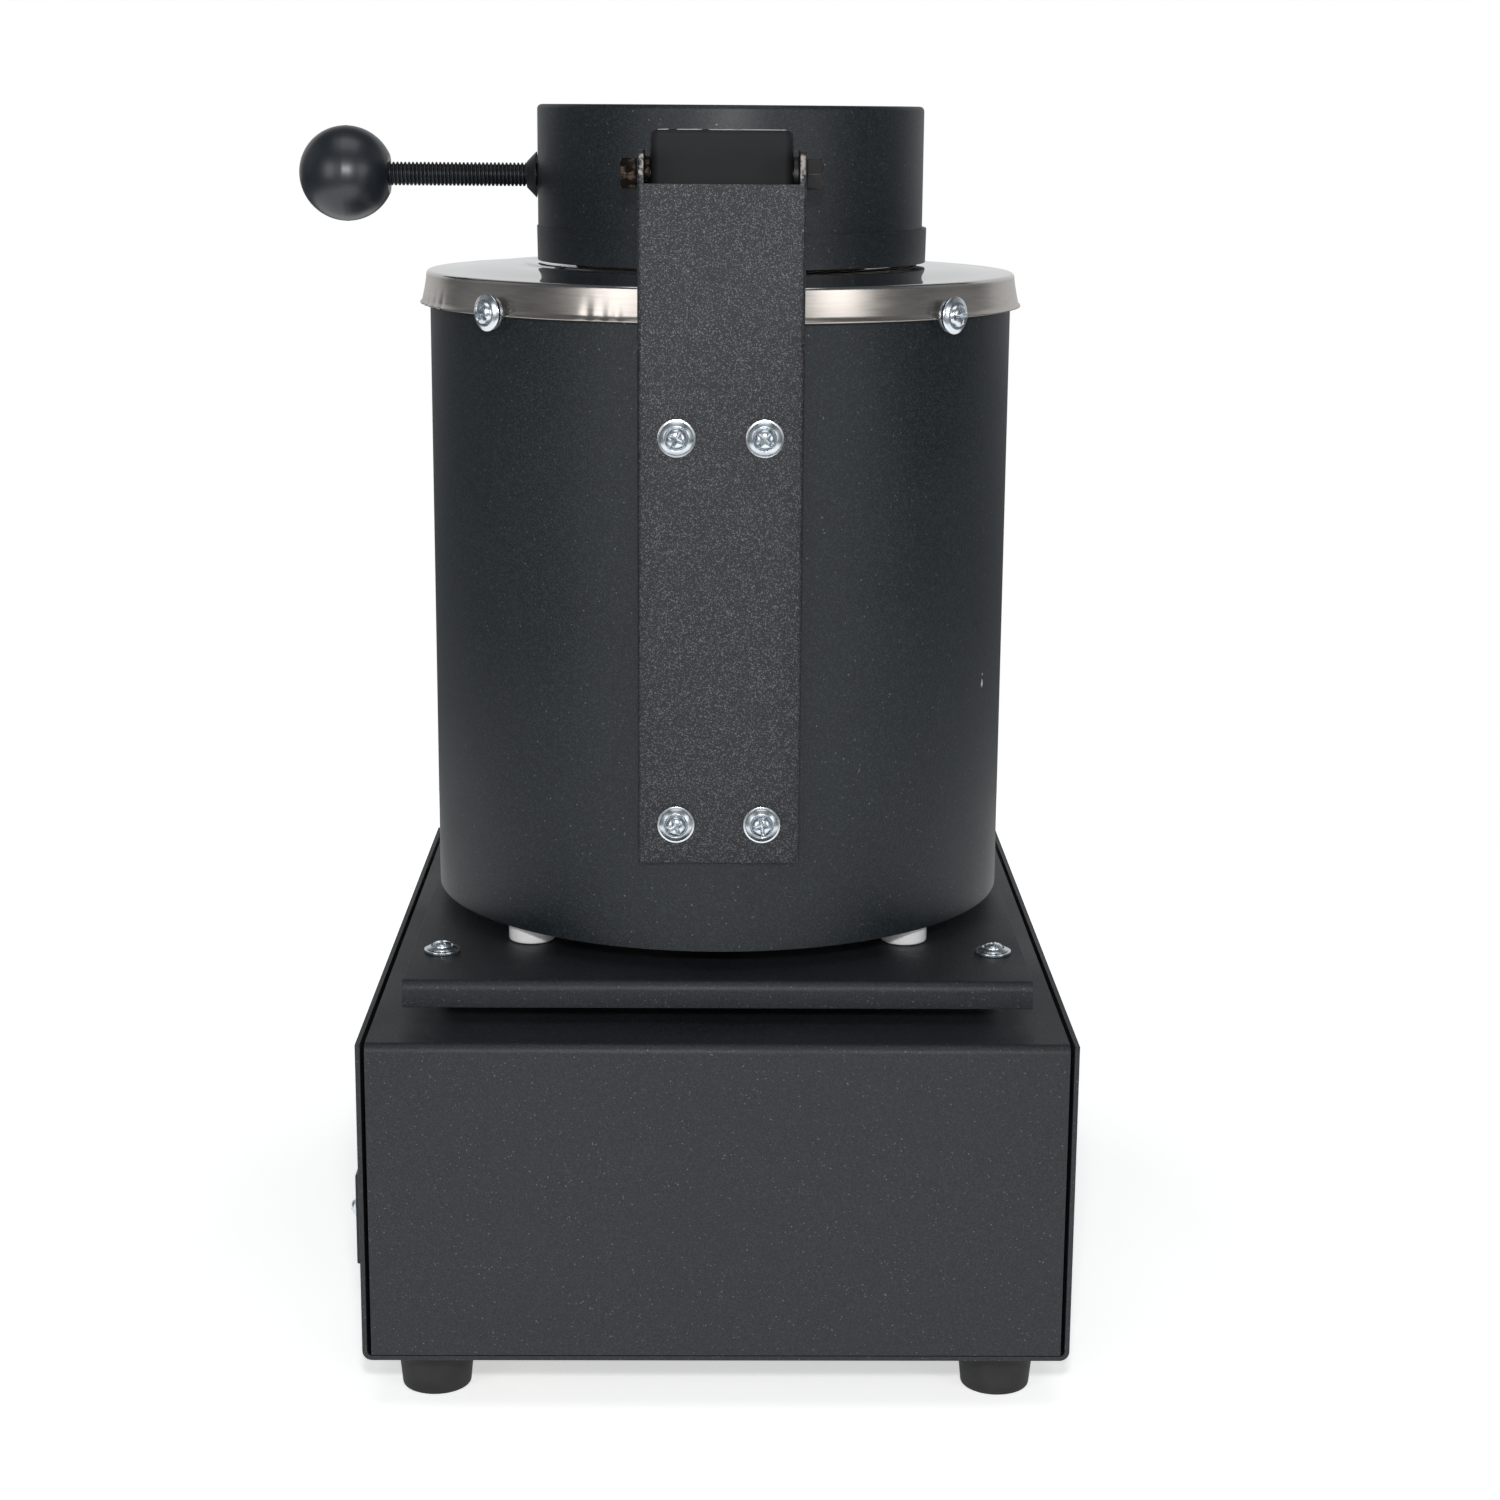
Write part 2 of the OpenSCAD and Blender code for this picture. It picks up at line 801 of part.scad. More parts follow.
// Bezel and body of the power switch, with the pocket that the rocker tilts in
module switch_housing() {
    pocket_d = 5.4;
    color("#1a1a1b")
    difference() {
        union() {
            panel_block(
                switch_x, switch_z, switch_w, switch_h,
                front_y - switch_flange_t - lay_gap / 2, switch_flange_t, 1.2
            );
            translate([switch_x, front_y + switch_body_d / 2 - 1, switch_z])
                cube([switch_w - 2.2, switch_body_d + 2, switch_h - 2.2], center = true);
        }
        translate([switch_x, rocker_y + 1, switch_z])
            cube([rocker_w + 0.5, 2 * pocket_d, rocker_l + 1.6], center = true);
        translate([switch_x, rocker_y, switch_z])
            rotate([0, 90, 0])
                cylinder(r = rocker_pin_r + pin_fit, h = rocker_w + 2.4, center = true);
    }
    color("silver")
    for (s = [-1, 1]) {
        translate([
            switch_x,
            front_y + switch_body_d + 4,
            switch_z + s * 5
        ])
            cube([4.8, 8, 0.8], center = true);
    }
}

rocker_y = front_y - 0.6;

// Rocker with two sloping faces and a pivot pin; it rests tilted to OFF
module power_rocker() {
    half = rocker_l / 2;
    color("#a01818")
    translate([switch_x, rocker_y, switch_z])
        rotate([-rocker_tilt, 0, 0])
            union() {
                rotate([90, 0, 90])
                    linear_extrude(height = rocker_w, center = true)
                        polygon([
                            [-3.2, half],
                            [-1.9, 0],
                            [-3.2, -half],
                            [0.4, -half],
                            [2.4, 0],
                            [0.4, half]
                        ]);
                rotate([0, 90, 0])
                    cylinder(r = rocker_pin_r, h = rocker_w + 2, center = true);
            }
}

// Threaded bodies of the two lamps with their nuts behind the panel
module lamp_holders() {
    color("#c9c9c6")
    for (s = [-1, 1]) {
        translate([switch_x + s * lamp_pitch / 2, front_y, lamp_z])
            rotate([90, 0, 0]) {
                translate([0, 0, lay_gap / 2]) washer(lamp_d / 2 + 1, 1, lamp_d / 2 - 2.2);
                translate([0, 0, -12])
                    washer(lamp_body_r, 12 + lay_gap / 2 + 0.5, lamp_d / 2 - 2.2);
                translate([0, 0, -sheet_t - 2.2 - lay_gap])
                    hex_nut(lamp_d * 1.35, 2.2, lamp_body_r + pin_fit);
            }
    }
}

// Domed lens on the front of a lamp holder
module lamp_lens(s, tint) {
    stem_r = lamp_d / 2 - 2.4;
    color(tint)
    translate([switch_x + s * lamp_pitch / 2, front_y, lamp_z])
        rotate([90, 0, 0])
            rotate_extrude()
                polygon([
                    [0, -8],
                    [stem_r, -8],
                    [stem_r, 1.2 + lay_gap / 2],
                    [lamp_d / 2, 1.2 + lay_gap / 2],
                    [lamp_d / 2, 2.6],
                    [lamp_d / 2 * 0.86, 3.8],
                    [lamp_d / 2 * 0.5, 4.7],
                    [0, 5]
                ]);
}

module heat_lamp_lens() {
    lamp_lens(-1, "#c02020");
}

module power_lamp_lens() {
    lamp_lens(1, "#20a040");
}

// Finned aluminium block under the relay
module relay_heat_sink() {
    fins = 7;
    fin_t = 2.4;
    base_t = 4;
    pitch = (sink_w - fin_t) / (fins - 1);
    color("silver")
    translate([sink_x - sink_w / 2, sink_y - sink_d / 2, floor_z + lay_gap]) {
        union() {
            translate([0, 0, sink_h - base_t]) cube([sink_w, sink_d, base_t]);
            for (i = [0:fins - 1]) {
                translate([i * pitch, 0, 0]) cube([fin_t, sink_d, sink_h - base_t + 1]);
            }
        }
    }
}

module solid_state_relay() {
    color("#d8d4c8")
    difference() {
        translate([sink_x, sink_y, relay_z + relay_h / 2])
            cube([relay_w, relay_d, relay_h], center = true);
        for (s = [-1, 1]) {
            translate([sink_x, sink_y + s * relay_d / 2, relay_z + relay_h])
                cube([relay_w - 6, 18, 10], center = true);
        }
    }
}

module terminal_block() {
    ways = 4;
    pitch = block_d / ways;
    color("#e8e4d6")
    difference() {
        translate([block_x, block_y, floor_z + lay_gap + block_h / 2])
            cube([block_w, block_d, block_h], center = true);
        for (i = [0:ways - 1], s = [-1, 1]) {
            translate([
                block_x + s * block_w / 4,
                block_y + (i - (ways - 1) / 2) * pitch,
                floor_z + block_h / 2
            ])
                cylinder(r = 2.2, h = block_h);
        }
    }
}

// Earth screw on the tray's floor with its washer and nut
module earth_stud() {
    color("#c8b560")
    translate([earth_x, earth_y, 0]) {
        translate([0, 0, tray_z - lay_gap / 2])
            rotate([180, 0, 0])
                pan_screw(screw_d, sheet_t + 12, head_d, head_h);
        translate([0, 0, floor_z + lay_gap / 2]) washer(5, washer_t, screw_r + pin_fit);
        translate([0, 0, floor_z + lay_gap + washer_t]) hex_nut(nut_af, nut_t, screw_r + pin_fit);
    }
}

// Ends of the wires, from the pieces that they join
inlet_tail_x = side_x - socket_depth - 1 - pin_tail - wire_d / 2;
switch_tail_y = front_y + switch_body_d + 8.5;
block_top_z = floor_z + lay_gap + block_h;
relay_face_z = relay_z + relay_h - 5;

module mains_wiring() {
    live = [
        [inlet_tail_x, inlet_y - 7, inlet_z - 1.8],
        [inlet_tail_x - 8, inlet_y - 16, inlet_z - 6],
        [inlet_tail_x - 6, inlet_y - 50, floor_z + 5],
        [switch_x - 6, switch_tail_y + 40, floor_z + 5],
        [switch_x, switch_tail_y + 10, switch_z - 8],
        [switch_x, switch_tail_y, switch_z - 5]
    ];
    switched = [
        [switch_x, switch_tail_y, switch_z + 5],
        [switch_x - 2, switch_tail_y + 10, switch_z + 6],
        [switch_x - 18, switch_tail_y + 60, floor_z + 24],
        [block_x + block_w / 4 + 4, block_y - block_d / 2 - 14, block_top_z + 12],
        [block_x + block_w / 4, block_y - block_d * 3 / 8, block_top_z + 8],
        [block_x + block_w / 4, block_y - block_d * 3 / 8, block_top_z - 4]
    ];
    neutral = [
        [inlet_tail_x, inlet_y + 7, inlet_z - 1.8],
        [inlet_tail_x - 10, inlet_y + 9, inlet_z + 4],
        [block_x + block_w / 4 + 8, block_y + block_d * 3 / 8, block_top_z + 9],
        [block_x + block_w / 4, block_y + block_d * 3 / 8, block_top_z + 5],
        [block_x + block_w / 4, block_y + block_d * 3 / 8, block_top_z - 4]
    ];
    earth = [
        [inlet_tail_x, inlet_y, inlet_z + 2.2],
        [inlet_tail_x - 8, inlet_y + 4, inlet_z + 14],
        [earth_x + 2, earth_y - 8, floor_z + 26],
        [earth_x, earth_y, floor_z + 24],
        [earth_x, earth_y, floor_z + 12.5]
    ];
    color("#7a3b1c") swept_tube(smooth_route(live, 4), wire_d / 2, 8);
    color("#7a3b1c") swept_tube(smooth_route(switched, 4), wire_d / 2, 8);
    color("#2a56a8") swept_tube(smooth_route(neutral, 4), wire_d / 2, 8);
    color("#4d9a3a") swept_tube(smooth_route(earth, 4), wire_d / 2, 8);
}

module heater_wiring() {
    out_lead = [
        [coil_r, tower_y, lead_end_z - 0.4],
        [coil_r, tower_y, lead_end_z - 10],
        [coil_r - 6, block_y - block_d / 2 - 20, block_top_z + 22],
        [block_x - block_w / 4, block_y - block_d / 8, block_top_z + 14],
        [block_x - block_w / 4, block_y - block_d / 8, block_top_z + 5],
        [block_x - block_w / 4, block_y - block_d / 8, block_top_z - 4]
    ];
    return_lead = [
        [-return_lead_r, tower_y, lead_end_z - 0.4],
        [-return_lead_r, tower_y, lead_end_z - 10],
        [-return_lead_r, sink_y - relay_d / 2 + 4, relay_z + relay_h + 10],
        [-return_lead_r, sink_y - relay_d / 2 + 4.5, relay_face_z + 0.4]
    ];
    link = [
        [sink_x, sink_y + relay_d / 2 - 4.5, relay_face_z + 0.4],
        [sink_x, sink_y + relay_d / 2 - 4, relay_z + relay_h + 10],
        [sink_x + 34, sink_y + relay_d / 2 - 6, relay_z + relay_h + 6],
        [block_x - block_w / 4, block_y + block_d / 8, block_top_z + 14],
        [block_x - block_w / 4, block_y + block_d / 8, block_top_z + 5],
        [block_x - block_w / 4, block_y + block_d / 8, block_top_z - 4]
    ];
    color("#d8d0c0") swept_tube(smooth_route(out_lead, 4), wire_d / 2, 8);
    color("#d8d0c0") swept_tube(smooth_route(return_lead, 4), wire_d / 2, 8);
    color("#d8d0c0") swept_tube(smooth_route(link, 4), wire_d / 2, 8);
}

module thermocouple_cable() {
    case_back = front_y + case_d;
    probe_end = 6.8;
    bend_way = 14;
    plug_x = controller_x + 8;
    route = [
        [0, tower_y, lead_end_z - probe_end],
        [0, tower_y, lead_end_z - bend_way],
        [-6, tower_y - bend_way, controller_z + 2],
        [plug_x, case_back + bend_way, controller_z],
        [plug_x, case_back + 2 * lay_gap, controller_z]
    ];
    color("#c87828") swept_tube(smooth_route(route, 4), 1.8, 8);
}

// Bridge-shaped plate that keeps the hot tower off the base box
module platform_plate() {
    color("#2b2d30")
    difference() {
        translate([-platform_w / 2, tower_y, flange_z])
            rotate([90, 0, 90])
                linear_extrude(height = platform_w)
                    channel_outline(platform_d, flange_h, sheet_t, bend_r);
        translate([0, tower_y, 0]) {
            for (p = concat(platform_screw_places, standoff_places)) {
                translate(p) z_hole(hole_r, platform_z - 3, platform_z);
            }
        }
        lead_holes(platform_z - 3, platform_z);
    }
}

module platform_spacers() {
    color("silver")
    for (p = platform_screw_places) {
        translate([p[0], p[1] + tower_y, box_top_z + lay_gap / 2])
            washer(
                spacer_d / 2,
                platform_z - sheet_t - box_top_z - lay_gap,
                hole_r
            );
    }
}

// Screws that hold the platform down, with washers above and nuts inside the box
module platform_screws() {
    color("silver")
    for (p = platform_screw_places) {
        translate([p[0], p[1] + tower_y, 0]) {
            translate([0, 0, platform_z + lay_gap / 2]) washer(head_d / 2, washer_t, hole_r);
            translate([0, 0, platform_z + lay_gap + washer_t])
                pan_screw(
                    screw_d,
                    platform_z - box_top_z + sheet_t + nut_t + washer_t + thread_tail,
                    head_d * 0.85,
                    low_head_h
                );
            translate([0, 0, box_top_z - sheet_t - nut_t - lay_gap])
                hex_nut(nut_af, nut_t, screw_r + pin_fit);
        }
    }
}

module ceramic_standoffs() {
    color("#f4f2ec")
    for (p = standoff_places) {
        translate([p[0], p[1] + tower_y, platform_z + lay_gap / 2])
            washer(standoff_d / 2, standoff_h - lay_gap, hole_r);
    }
}

// Bolts through the standoffs: heads on the shell's floor, nuts under the platform
module standoff_bolts() {
    seat = shell_z + shell_floor_t + lay_gap / 2;
    color("silver")
    for (p = standoff_places) {
        translate([p[0], p[1] + tower_y, seat])
            pan_screw(
                screw_d,
                shell_floor_t + standoff_h + sheet_t + nut_t + thread_tail,
                head_d,
                head_h
            );
        translate([p[0], p[1] + tower_y, platform_z - sheet_t - nut_t - lay_gap])
            hex_nut(nut_af, nut_t, screw_r + pin_fit);
    }
}

// Places of the bracket's screws: z = 0 on its outer face, +Z away from the shell
module at_bracket_screws() {
    for (s = [-1, 1], z = bracket_screw_zs) {
        translate([s * bracket_screw_x / 2, plate_y, z]) rotate([-90, 0, 0]) children();
    }
}

// Radial places of the screws through the top plate's rim, at the shell's surface
module at_rim_screws() {
    for (a = rim_screw_angles) {
        translate([0, tower_y, rim_z + rim_screw_up])
            rotate([0, 0, a])
                translate([shell_r, 0, 0])
                    rotate([0, 90, 0]) children();
    }
}

// Depth from the bracket's outer face to the inside of the shell at its screws
bracket_nut_depth = plate_y - tower_y
    - sqrt(pow(shell_in_r, 2) - pow(bracket_screw_x / 2 + nut_af / 2 / cos(30), 2));

module furnace_shell() {
    color("#26282c")
    difference() {
        translate([0, tower_y, shell_z]) cylinder(r = shell_r, h = shell_h - lay_gap, $fn = 128);
        translate([0, tower_y, shell_z + shell_floor_t])
            cylinder(r = shell_in_r, h = shell_h, $fn = 128);
        for (p = standoff_places) {
            translate([p[0], p[1] + tower_y, 0])
                z_hole(hole_r, shell_z, shell_z + shell_floor_t);
        }
        lead_holes(shell_z, shell_z + shell_floor_t);
        at_bracket_screws() z_hole(hole_r, -bracket_nut_depth, 0);
        at_rim_screws() z_hole(hole_r, -3 * shell_wall, shell_wall);
    }
}

// Rigid fibre board on the shell's floor
module base_board() {
    color("#efece2")
    difference() {
        translate([0, tower_y, board_z])
            cylinder(r = shell_in_r - lay_gap, h = board_t - lay_gap, $fn = 128);
        for (p = standoff_places) {
            translate([p[0], p[1] + tower_y, board_z - 1])
                cylinder(d = head_d + 1, h = head_h + 1.8);
        }
        lead_holes(board_z, chamber_z);
        bracket_screw_pockets();
    }
}

pocket_r = nut_af * 0.75;

// Room round the bracket's nuts and thread ends in the insulation
module bracket_screw_pockets() {
    depth = bracket_nut_depth + nut_t + 2 * thread_tail + 1;
    at_bracket_screws() translate([0, 0, -depth]) cylinder(r = pocket_r, h = depth);
}

// Ceramic fibre wall between the coil and the shell
module insulation_jacket() {
    rim_pocket_d = shell_wall + nut_t + 2 * thread_tail + 2;
    jacket_z = chamber_z;
    jacket_h = shell_top_z - jacket_z - lay_gap;
    color("#f3f0e6")
    difference() {
        translate([0, tower_y, jacket_z])
            cylinder(r = shell_in_r - lay_gap, h = jacket_h, $fn = 128);
        translate([0, tower_y, jacket_z - 1]) cylinder(r = jacket_in_r, h = jacket_h + 2);
        translate([-return_lead_r, tower_y, jacket_z - 1])
            cylinder(r = bush_hole_r, h = jacket_h + 2);
        bracket_screw_pockets();
        at_rim_screws() translate([0, 0, -rim_pocket_d]) cylinder(r = pocket_r, h = rim_pocket_d);
    }
}

// Ceramic tube that forms the heating chamber and its mouth
module ceramic_muffle() {
    color("#e6ddc8")
    difference() {
        translate([0, tower_y, chamber_z])
            cylinder(r = muffle_r, h = muffle_top_z - chamber_z);
        translate([0, tower_y, chamber_z - 1])
            cylinder(r = muffle_in_r, h = muffle_top_z - chamber_z + 2);
    }
}

coil_z = chamber_z + coil_margin;
coil_top_z = shell_top_z - coil_margin;

// Resistance wire wound round the muffle: half a turn more than whole turns
module heating_coil() {
    turns = coil_turns + 0.5;
    count = floor(turns * coil_steps);
    route = [
        for (i = [0:count])
            let (a = 360 * i / coil_steps)
            [
                coil_r * cos(a),
                tower_y + coil_r * sin(a),
                coil_z + (coil_top_z - coil_z) * i / count
            ]
    ];
    color("#8c7464") swept_tube(route, coil_wire_d / 2, 6);
}

// Rods from the coil's ends down through the floor into the base box
module heater_leads() {
    r = lead_d / 2;
    color("#a39a90")
    translate([0, tower_y, 0]) {
        translate([coil_r, 0, lead_end_z])
            cylinder(r = r, h = coil_z - coil_wire_d / 2 - lay_gap - lead_end_z);
        union() {
            translate([-return_lead_r, 0, lead_end_z])
                cylinder(r = r, h = coil_top_z + r - lead_end_z);
            translate([-return_lead_r, 0, coil_top_z])
                rotate([0, 90, 0])
                    cylinder(r = r, h = return_lead_r - coil_r - coil_wire_d / 2 - lay_gap / 2);
        }
    }
}

// Ceramic tube with a collar that rests on the platform
module lead_bush(z1) {
    z0 = lead_end_z + 4;
    difference() {
        union() {
            translate([0, 0, z0]) cylinder(r = bush_r, h = z1 - z0);
            translate([0, 0, platform_z + lay_gap])
                cylinder(r = bush_collar_r, h = standoff_h - 2 * lay_gap);
        }
        translate([0, 0, z0 - 1]) cylinder(r = bush_bore_r, h = z1 - z0 + 2);
    }
}

module lead_bushes() {
    color("#f4f2ec")
    translate([0, tower_y, 0]) {
        translate([coil_r, 0, 0]) lead_bush(chamber_z - lay_gap);
        translate([-return_lead_r, 0, 0]) lead_bush(coil_top_z - 4);
    }
}

// Sheathed probe under the crucible, held by a collar on the platform
module thermocouple() {
    color("#b8aea0")
    translate([0, tower_y, 0]) {
        union() {
            translate([0, 0, lead_end_z])
                cylinder(d = probe_d, h = chamber_z + pedestal_h - 0.4 - lead_end_z);
            translate([0, 0, platform_z + lay_gap])
                cylinder(r = probe_d, h = standoff_h - 2 * lay_gap);
            translate([0, 0, lead_end_z - 6]) cylinder(d = probe_d + 4, h = 7);
        }
    }
}

module crucible_pedestal() {
    color("#d9cfb6")
    difference() {
        translate([0, tower_y, chamber_z])
            cylinder(r = muffle_in_r - 0.5, h = pedestal_h);
        translate([0, tower_y, chamber_z - 1]) cylinder(r = probe_hole_r, h = pedestal_h + 2);
    }
}

module graphite_crucible() {
    in_r = crucible_id / 2;
    foot_r = in_r + 4;
    body_r = in_r + 6;
    fillet = 6;
    shoulder_z = crucible_h - crucible_collar_h;
    floor_arc = [
        for (i = [0:6])
            let (a = 90 * i / 6)
            [
                in_r - fillet + fillet * sin(a),
                crucible_floor + fillet - fillet * cos(a)
            ]
    ];
    color("#3b3b3e")
    translate([0, tower_y, crucible_z])
        rotate_extrude()
            polygon(concat(
                [[0, 0], [foot_r, 0], [body_r, shoulder_z]],
                [[crucible_d / 2, shoulder_z], [crucible_d / 2, crucible_h]],
                [[in_r, crucible_h]],
                [for (i = [6:-1:0]) floor_arc[i]],
                [[0, crucible_floor]]
            ));
}

// Stainless disc, slightly raised in the middle, with a flared rim over the shell
module top_plate() {
    fold_c = [rim_r - rim_fold_r, top_z - rim_fold_r];
    arc_outer = [
        for (i = [0:5])
            let (a = 90 - 18 * i)
            fold_c + rim_fold_r * [cos(a), sin(a)]
    ];
    arc_inner = [
        for (i = [5:-1:0])
            let (a = 90 - 18 * i)
            fold_c + (rim_fold_r - top_t) * [cos(a), sin(a)]
    ];
    slot_w = bracket_w - 1.2;
    flat_r = lid_r + abs(lid_x) + plate_flat_over;
    color("#c9c4bc")
    difference() {
        translate([0, tower_y, 0])
            rotate_extrude($fn = 128)
                polygon(concat(
                    [[top_hole_r, mouth_z], [flat_r, mouth_z]],
                    arc_outer,
                    [[rim_r + rim_flare, rim_z], [rim_r + rim_flare - top_t, rim_z]],
                    arc_inner,
                    [[flat_r, mouth_z - top_t], [top_hole_r, mouth_z - top_t]]
                ));
        translate([-slot_w / 2, tower_y + shell_r * 0.9, rim_z - 1])
            cube([slot_w, shell_r, rim_h + 1 - rim_fold_r]);
        translate([-slot_w / 2, plate_in_y - 0.3, rim_z - 1])
            cube([slot_w, shell_r, rim_h + 2]);
        at_rim_screws() z_hole(hole_r, 0, 2 * rim_flare);
    }
}

// Screws with washers that pinch the rim's lower edge, and their nuts in the shell
module rim_screws() {
    washer_seat = rim_r + rim_flare - shell_r + lay_gap;
    seat = washer_seat + 2 * washer_t;
    color("silver")
    at_rim_screws() {
        translate([0, 0, washer_seat]) washer(head_d / 2 - 0.3, washer_t, hole_r);
        translate([0, 0, seat])
            pan_screw(
                screw_d,
                seat + 2 * shell_wall + nut_t + thread_tail,
                head_d,
                head_h
            );
        translate([0, 0, -2 * shell_wall - nut_t - lay_gap])
            hex_nut(nut_af, nut_t, screw_r + pin_fit);
    }
}

// Outline of one ear, seen from the side, as [y, z] measured from the pivot
module ear_outline() {
    back = pivot_in + bracket_t;
    low = top_z + 1.2 - pivot_z;
    difference() {
        union() {
            circle(r = ear_r);
            translate([0, -ear_r]) square([back - 2, 2 * ear_r]);
            translate([0, -ear_r]) square([back, 2 * ear_r - 2]);
            translate([back - 2, ear_r - 2]) circle(r = 2);
            polygon([
                [-ear_r, 0],
                [-ear_r, -ear_r],
                [back - 4, low],
                [back, low],
                [back, 0]
            ]);
        }
        circle(r = hole_of_pivot);
    }
}

hole_of_pivot = screw_r + pin_fit;

// Back plate screwed to the shell, with two folded ears that carry the lid's pivot
module hinge_bracket() {
    front = pivot_in + 2 * ear_r;
    color("#45464a")
    difference() {
        intersection() {
            union() {
                translate([-bracket_w / 2, plate_in_y, plate_z])
                    cube([bracket_w, bracket_t, bracket_h]);
                for (x = [-bracket_w / 2, bracket_w / 2 - bracket_t]) {
                    translate([x, pivot_y, pivot_z])
                        rotate([90, 0, 90])
                            linear_extrude(height = bracket_t) ear_outline();
                }
            }
            translate([0, plate_y, plate_z - 1])
                linear_extrude(height = bracket_h + 2 * ear_r + 2) {
                    translate([-bracket_w / 2, -front])
                        square([bracket_w, front - bracket_edge_r]);
                    translate([-bracket_w / 2 + bracket_edge_r, -front])
                        square([bracket_w - 2 * bracket_edge_r, front]);
                    for (s = [-1, 1]) {
                        translate([s * (bracket_w / 2 - bracket_edge_r), -bracket_edge_r])
                            circle(r = bracket_edge_r);
                    }
                }
        }
        for (s = [-1, 1]) {
            translate([s * bracket_w / 2, plate_y, plate_top_z - relief_down])
                cube([relief_d, 4 * bracket_t, relief_d], center = true);
        }
        at_bracket_screws() z_hole(hole_r, -2 * bracket_t, bracket_t);
    }
}

module bracket_screws() {
    color("silver")
    at_bracket_screws() {
        translate([0, 0, lay_gap / 2]) washer(head_d / 2, washer_t, hole_r);
        translate([0, 0, washer_t + lay_gap])
            pan_screw(
                screw_d,
                washer_t + bracket_nut_depth + nut_t + thread_tail,
                head_d * 0.9,
                head_h
            );
        translate([0, 0, -bracket_nut_depth - nut_t - lay_gap])
            hex_nut(nut_af, nut_t, screw_r + pin_fit);
    }
}

// Deep-drawn steel cup of the lid, open below
module lid_shell() {
    edge_r = 1.2;
    color("#26282c")
    difference() {
        translate([lid_x, tower_y, lid_z])
            rotate_extrude($fn = 128)
                polygon(concat(
                    [[0, lid_h]],
                    [
                        for (i = [0:5])
                            let (a = 90 - 18 * i)
                            [
                                lid_r - edge_r + edge_r * cos(a),
                                lid_h - edge_r + edge_r * sin(a)
                            ]
                    ],
                    [[lid_r, 0], [lid_r - lid_wall, 0]],
                    [[lid_r - lid_wall, lid_h - lid_wall], [0, lid_h - lid_wall]]
                ));
        translate([lid_x, tower_y, rod_z])
            rotate([0, 90, 0]) cylinder(d = rod_d + hole_fit, h = lid_r + 5);
    }
}

// Thin hoop round the lid's lower edge, thicker towards one side
module lid_band() {
    color("#2b2d31")
    translate([lid_x, tower_y, lid_z]) {
        difference() {
            translate([-band_shift, 0, 0])
                cylinder(
                    r1 = lid_r + band_t - band_taper,
                    r2 = lid_r + band_t,
                    h = band_h,
                    $fn = 128
                );
            translate([0, 0, -1]) cylinder(r = lid_r + 0.05, h = band_h + 2, $fn = 128);
        }
    }
}

liner_r = lid_r - lid_wall - lay_gap;

// Ceramic fibre plug of the lid, with a pocket for the handle's inner nut
module lid_liner() {
    color("#f3f0e6")
    difference() {
        translate([lid_x, tower_y, lid_z])
            cylinder(r = liner_r, h = lid_h - lid_wall - lay_gap);
        translate([lid_x + lid_r - lid_wall - rod_tail - 1, tower_y, rod_z])
            rotate([0, 90, 0]) cylinder(d = rod_d * 2 + 1, h = rod_tail + 4);
    }
}

rod_nut_t = rod_d / 2;
rod_tail = rod_nut_t + 2;
ball_x = lid_x + lid_r + rod_reach;

// Threaded stud from inside the lid to the middle of the ball
module handle_rod() {
    start = lid_x + lid_r - lid_wall - rod_tail;
    color("#3a3a3c")
    translate([start, tower_y, rod_z])
        rotate([0, 90, 0]) cylinder(d = rod_d, h = ball_x - start);
}

module handle_nuts() {
    color("#2c2c2e")
    for (x = [lid_x + lid_r + 0.3, lid_x + lid_r - lid_wall - rod_nut_t - 0.6]) {
        translate([x, tower_y, rod_z])
            rotate([0, 90, 0]) hex_nut(rod_d * 1.67, rod_nut_t, rod_d / 2 + pin_fit);
    }
}

// Moulded ball with a flat face round the threaded hole that takes the rod
module ball_knob() {
    r = ball_d / 2;
    hole = rod_d / 2 + pin_fit;
    face_r = hole + 2;
    steps = 24;
    start = asin(face_r / r);
    color("#101114")
    translate([ball_x, tower_y, rod_z])
        rotate([0, 90, 0])
            rotate_extrude()
                polygon(concat(
                    [[0, lay_gap], [hole, lay_gap], [hole, -r * cos(start)]],
                    [
                        for (i = [0:steps])
                            let (a = start + (180 - start) * i / steps)
                            [r * sin(a), -r * cos(a)]
                    ]
                ));
}

// U-shaped lug welded to the lid's wall, turning between the bracket's ears
module hinge_lug() {
    cheek_t = 2.4;
    reach = pivot_y - tower_y;
    color("#232427")
    difference() {
        translate([-lug_w / 2, pivot_y - reach, pivot_z - lug_down])
            cube([lug_w, reach + lug_back, lug_up + lug_down]);
        translate([
            -lug_w / 2 + cheek_t,
            pivot_y - reach - 1,
            pivot_z - lug_down - 1
        ])
            cube([
                lug_w - 2 * cheek_t,
                reach + lug_back - bracket_t + 1,
                lug_up + lug_down + 2
            ]);
        translate([lid_x, tower_y, pivot_z - lug_down - 1])
            cylinder(r = lid_r + 0.05, h = lug_up + lug_down + 2, $fn = 128);
        translate([0, pivot_y, pivot_z])
            rotate([0, 90, 0]) cylinder(r = screw_r + pin_fit, h = 2 * lug_w, center = true);
    }
}

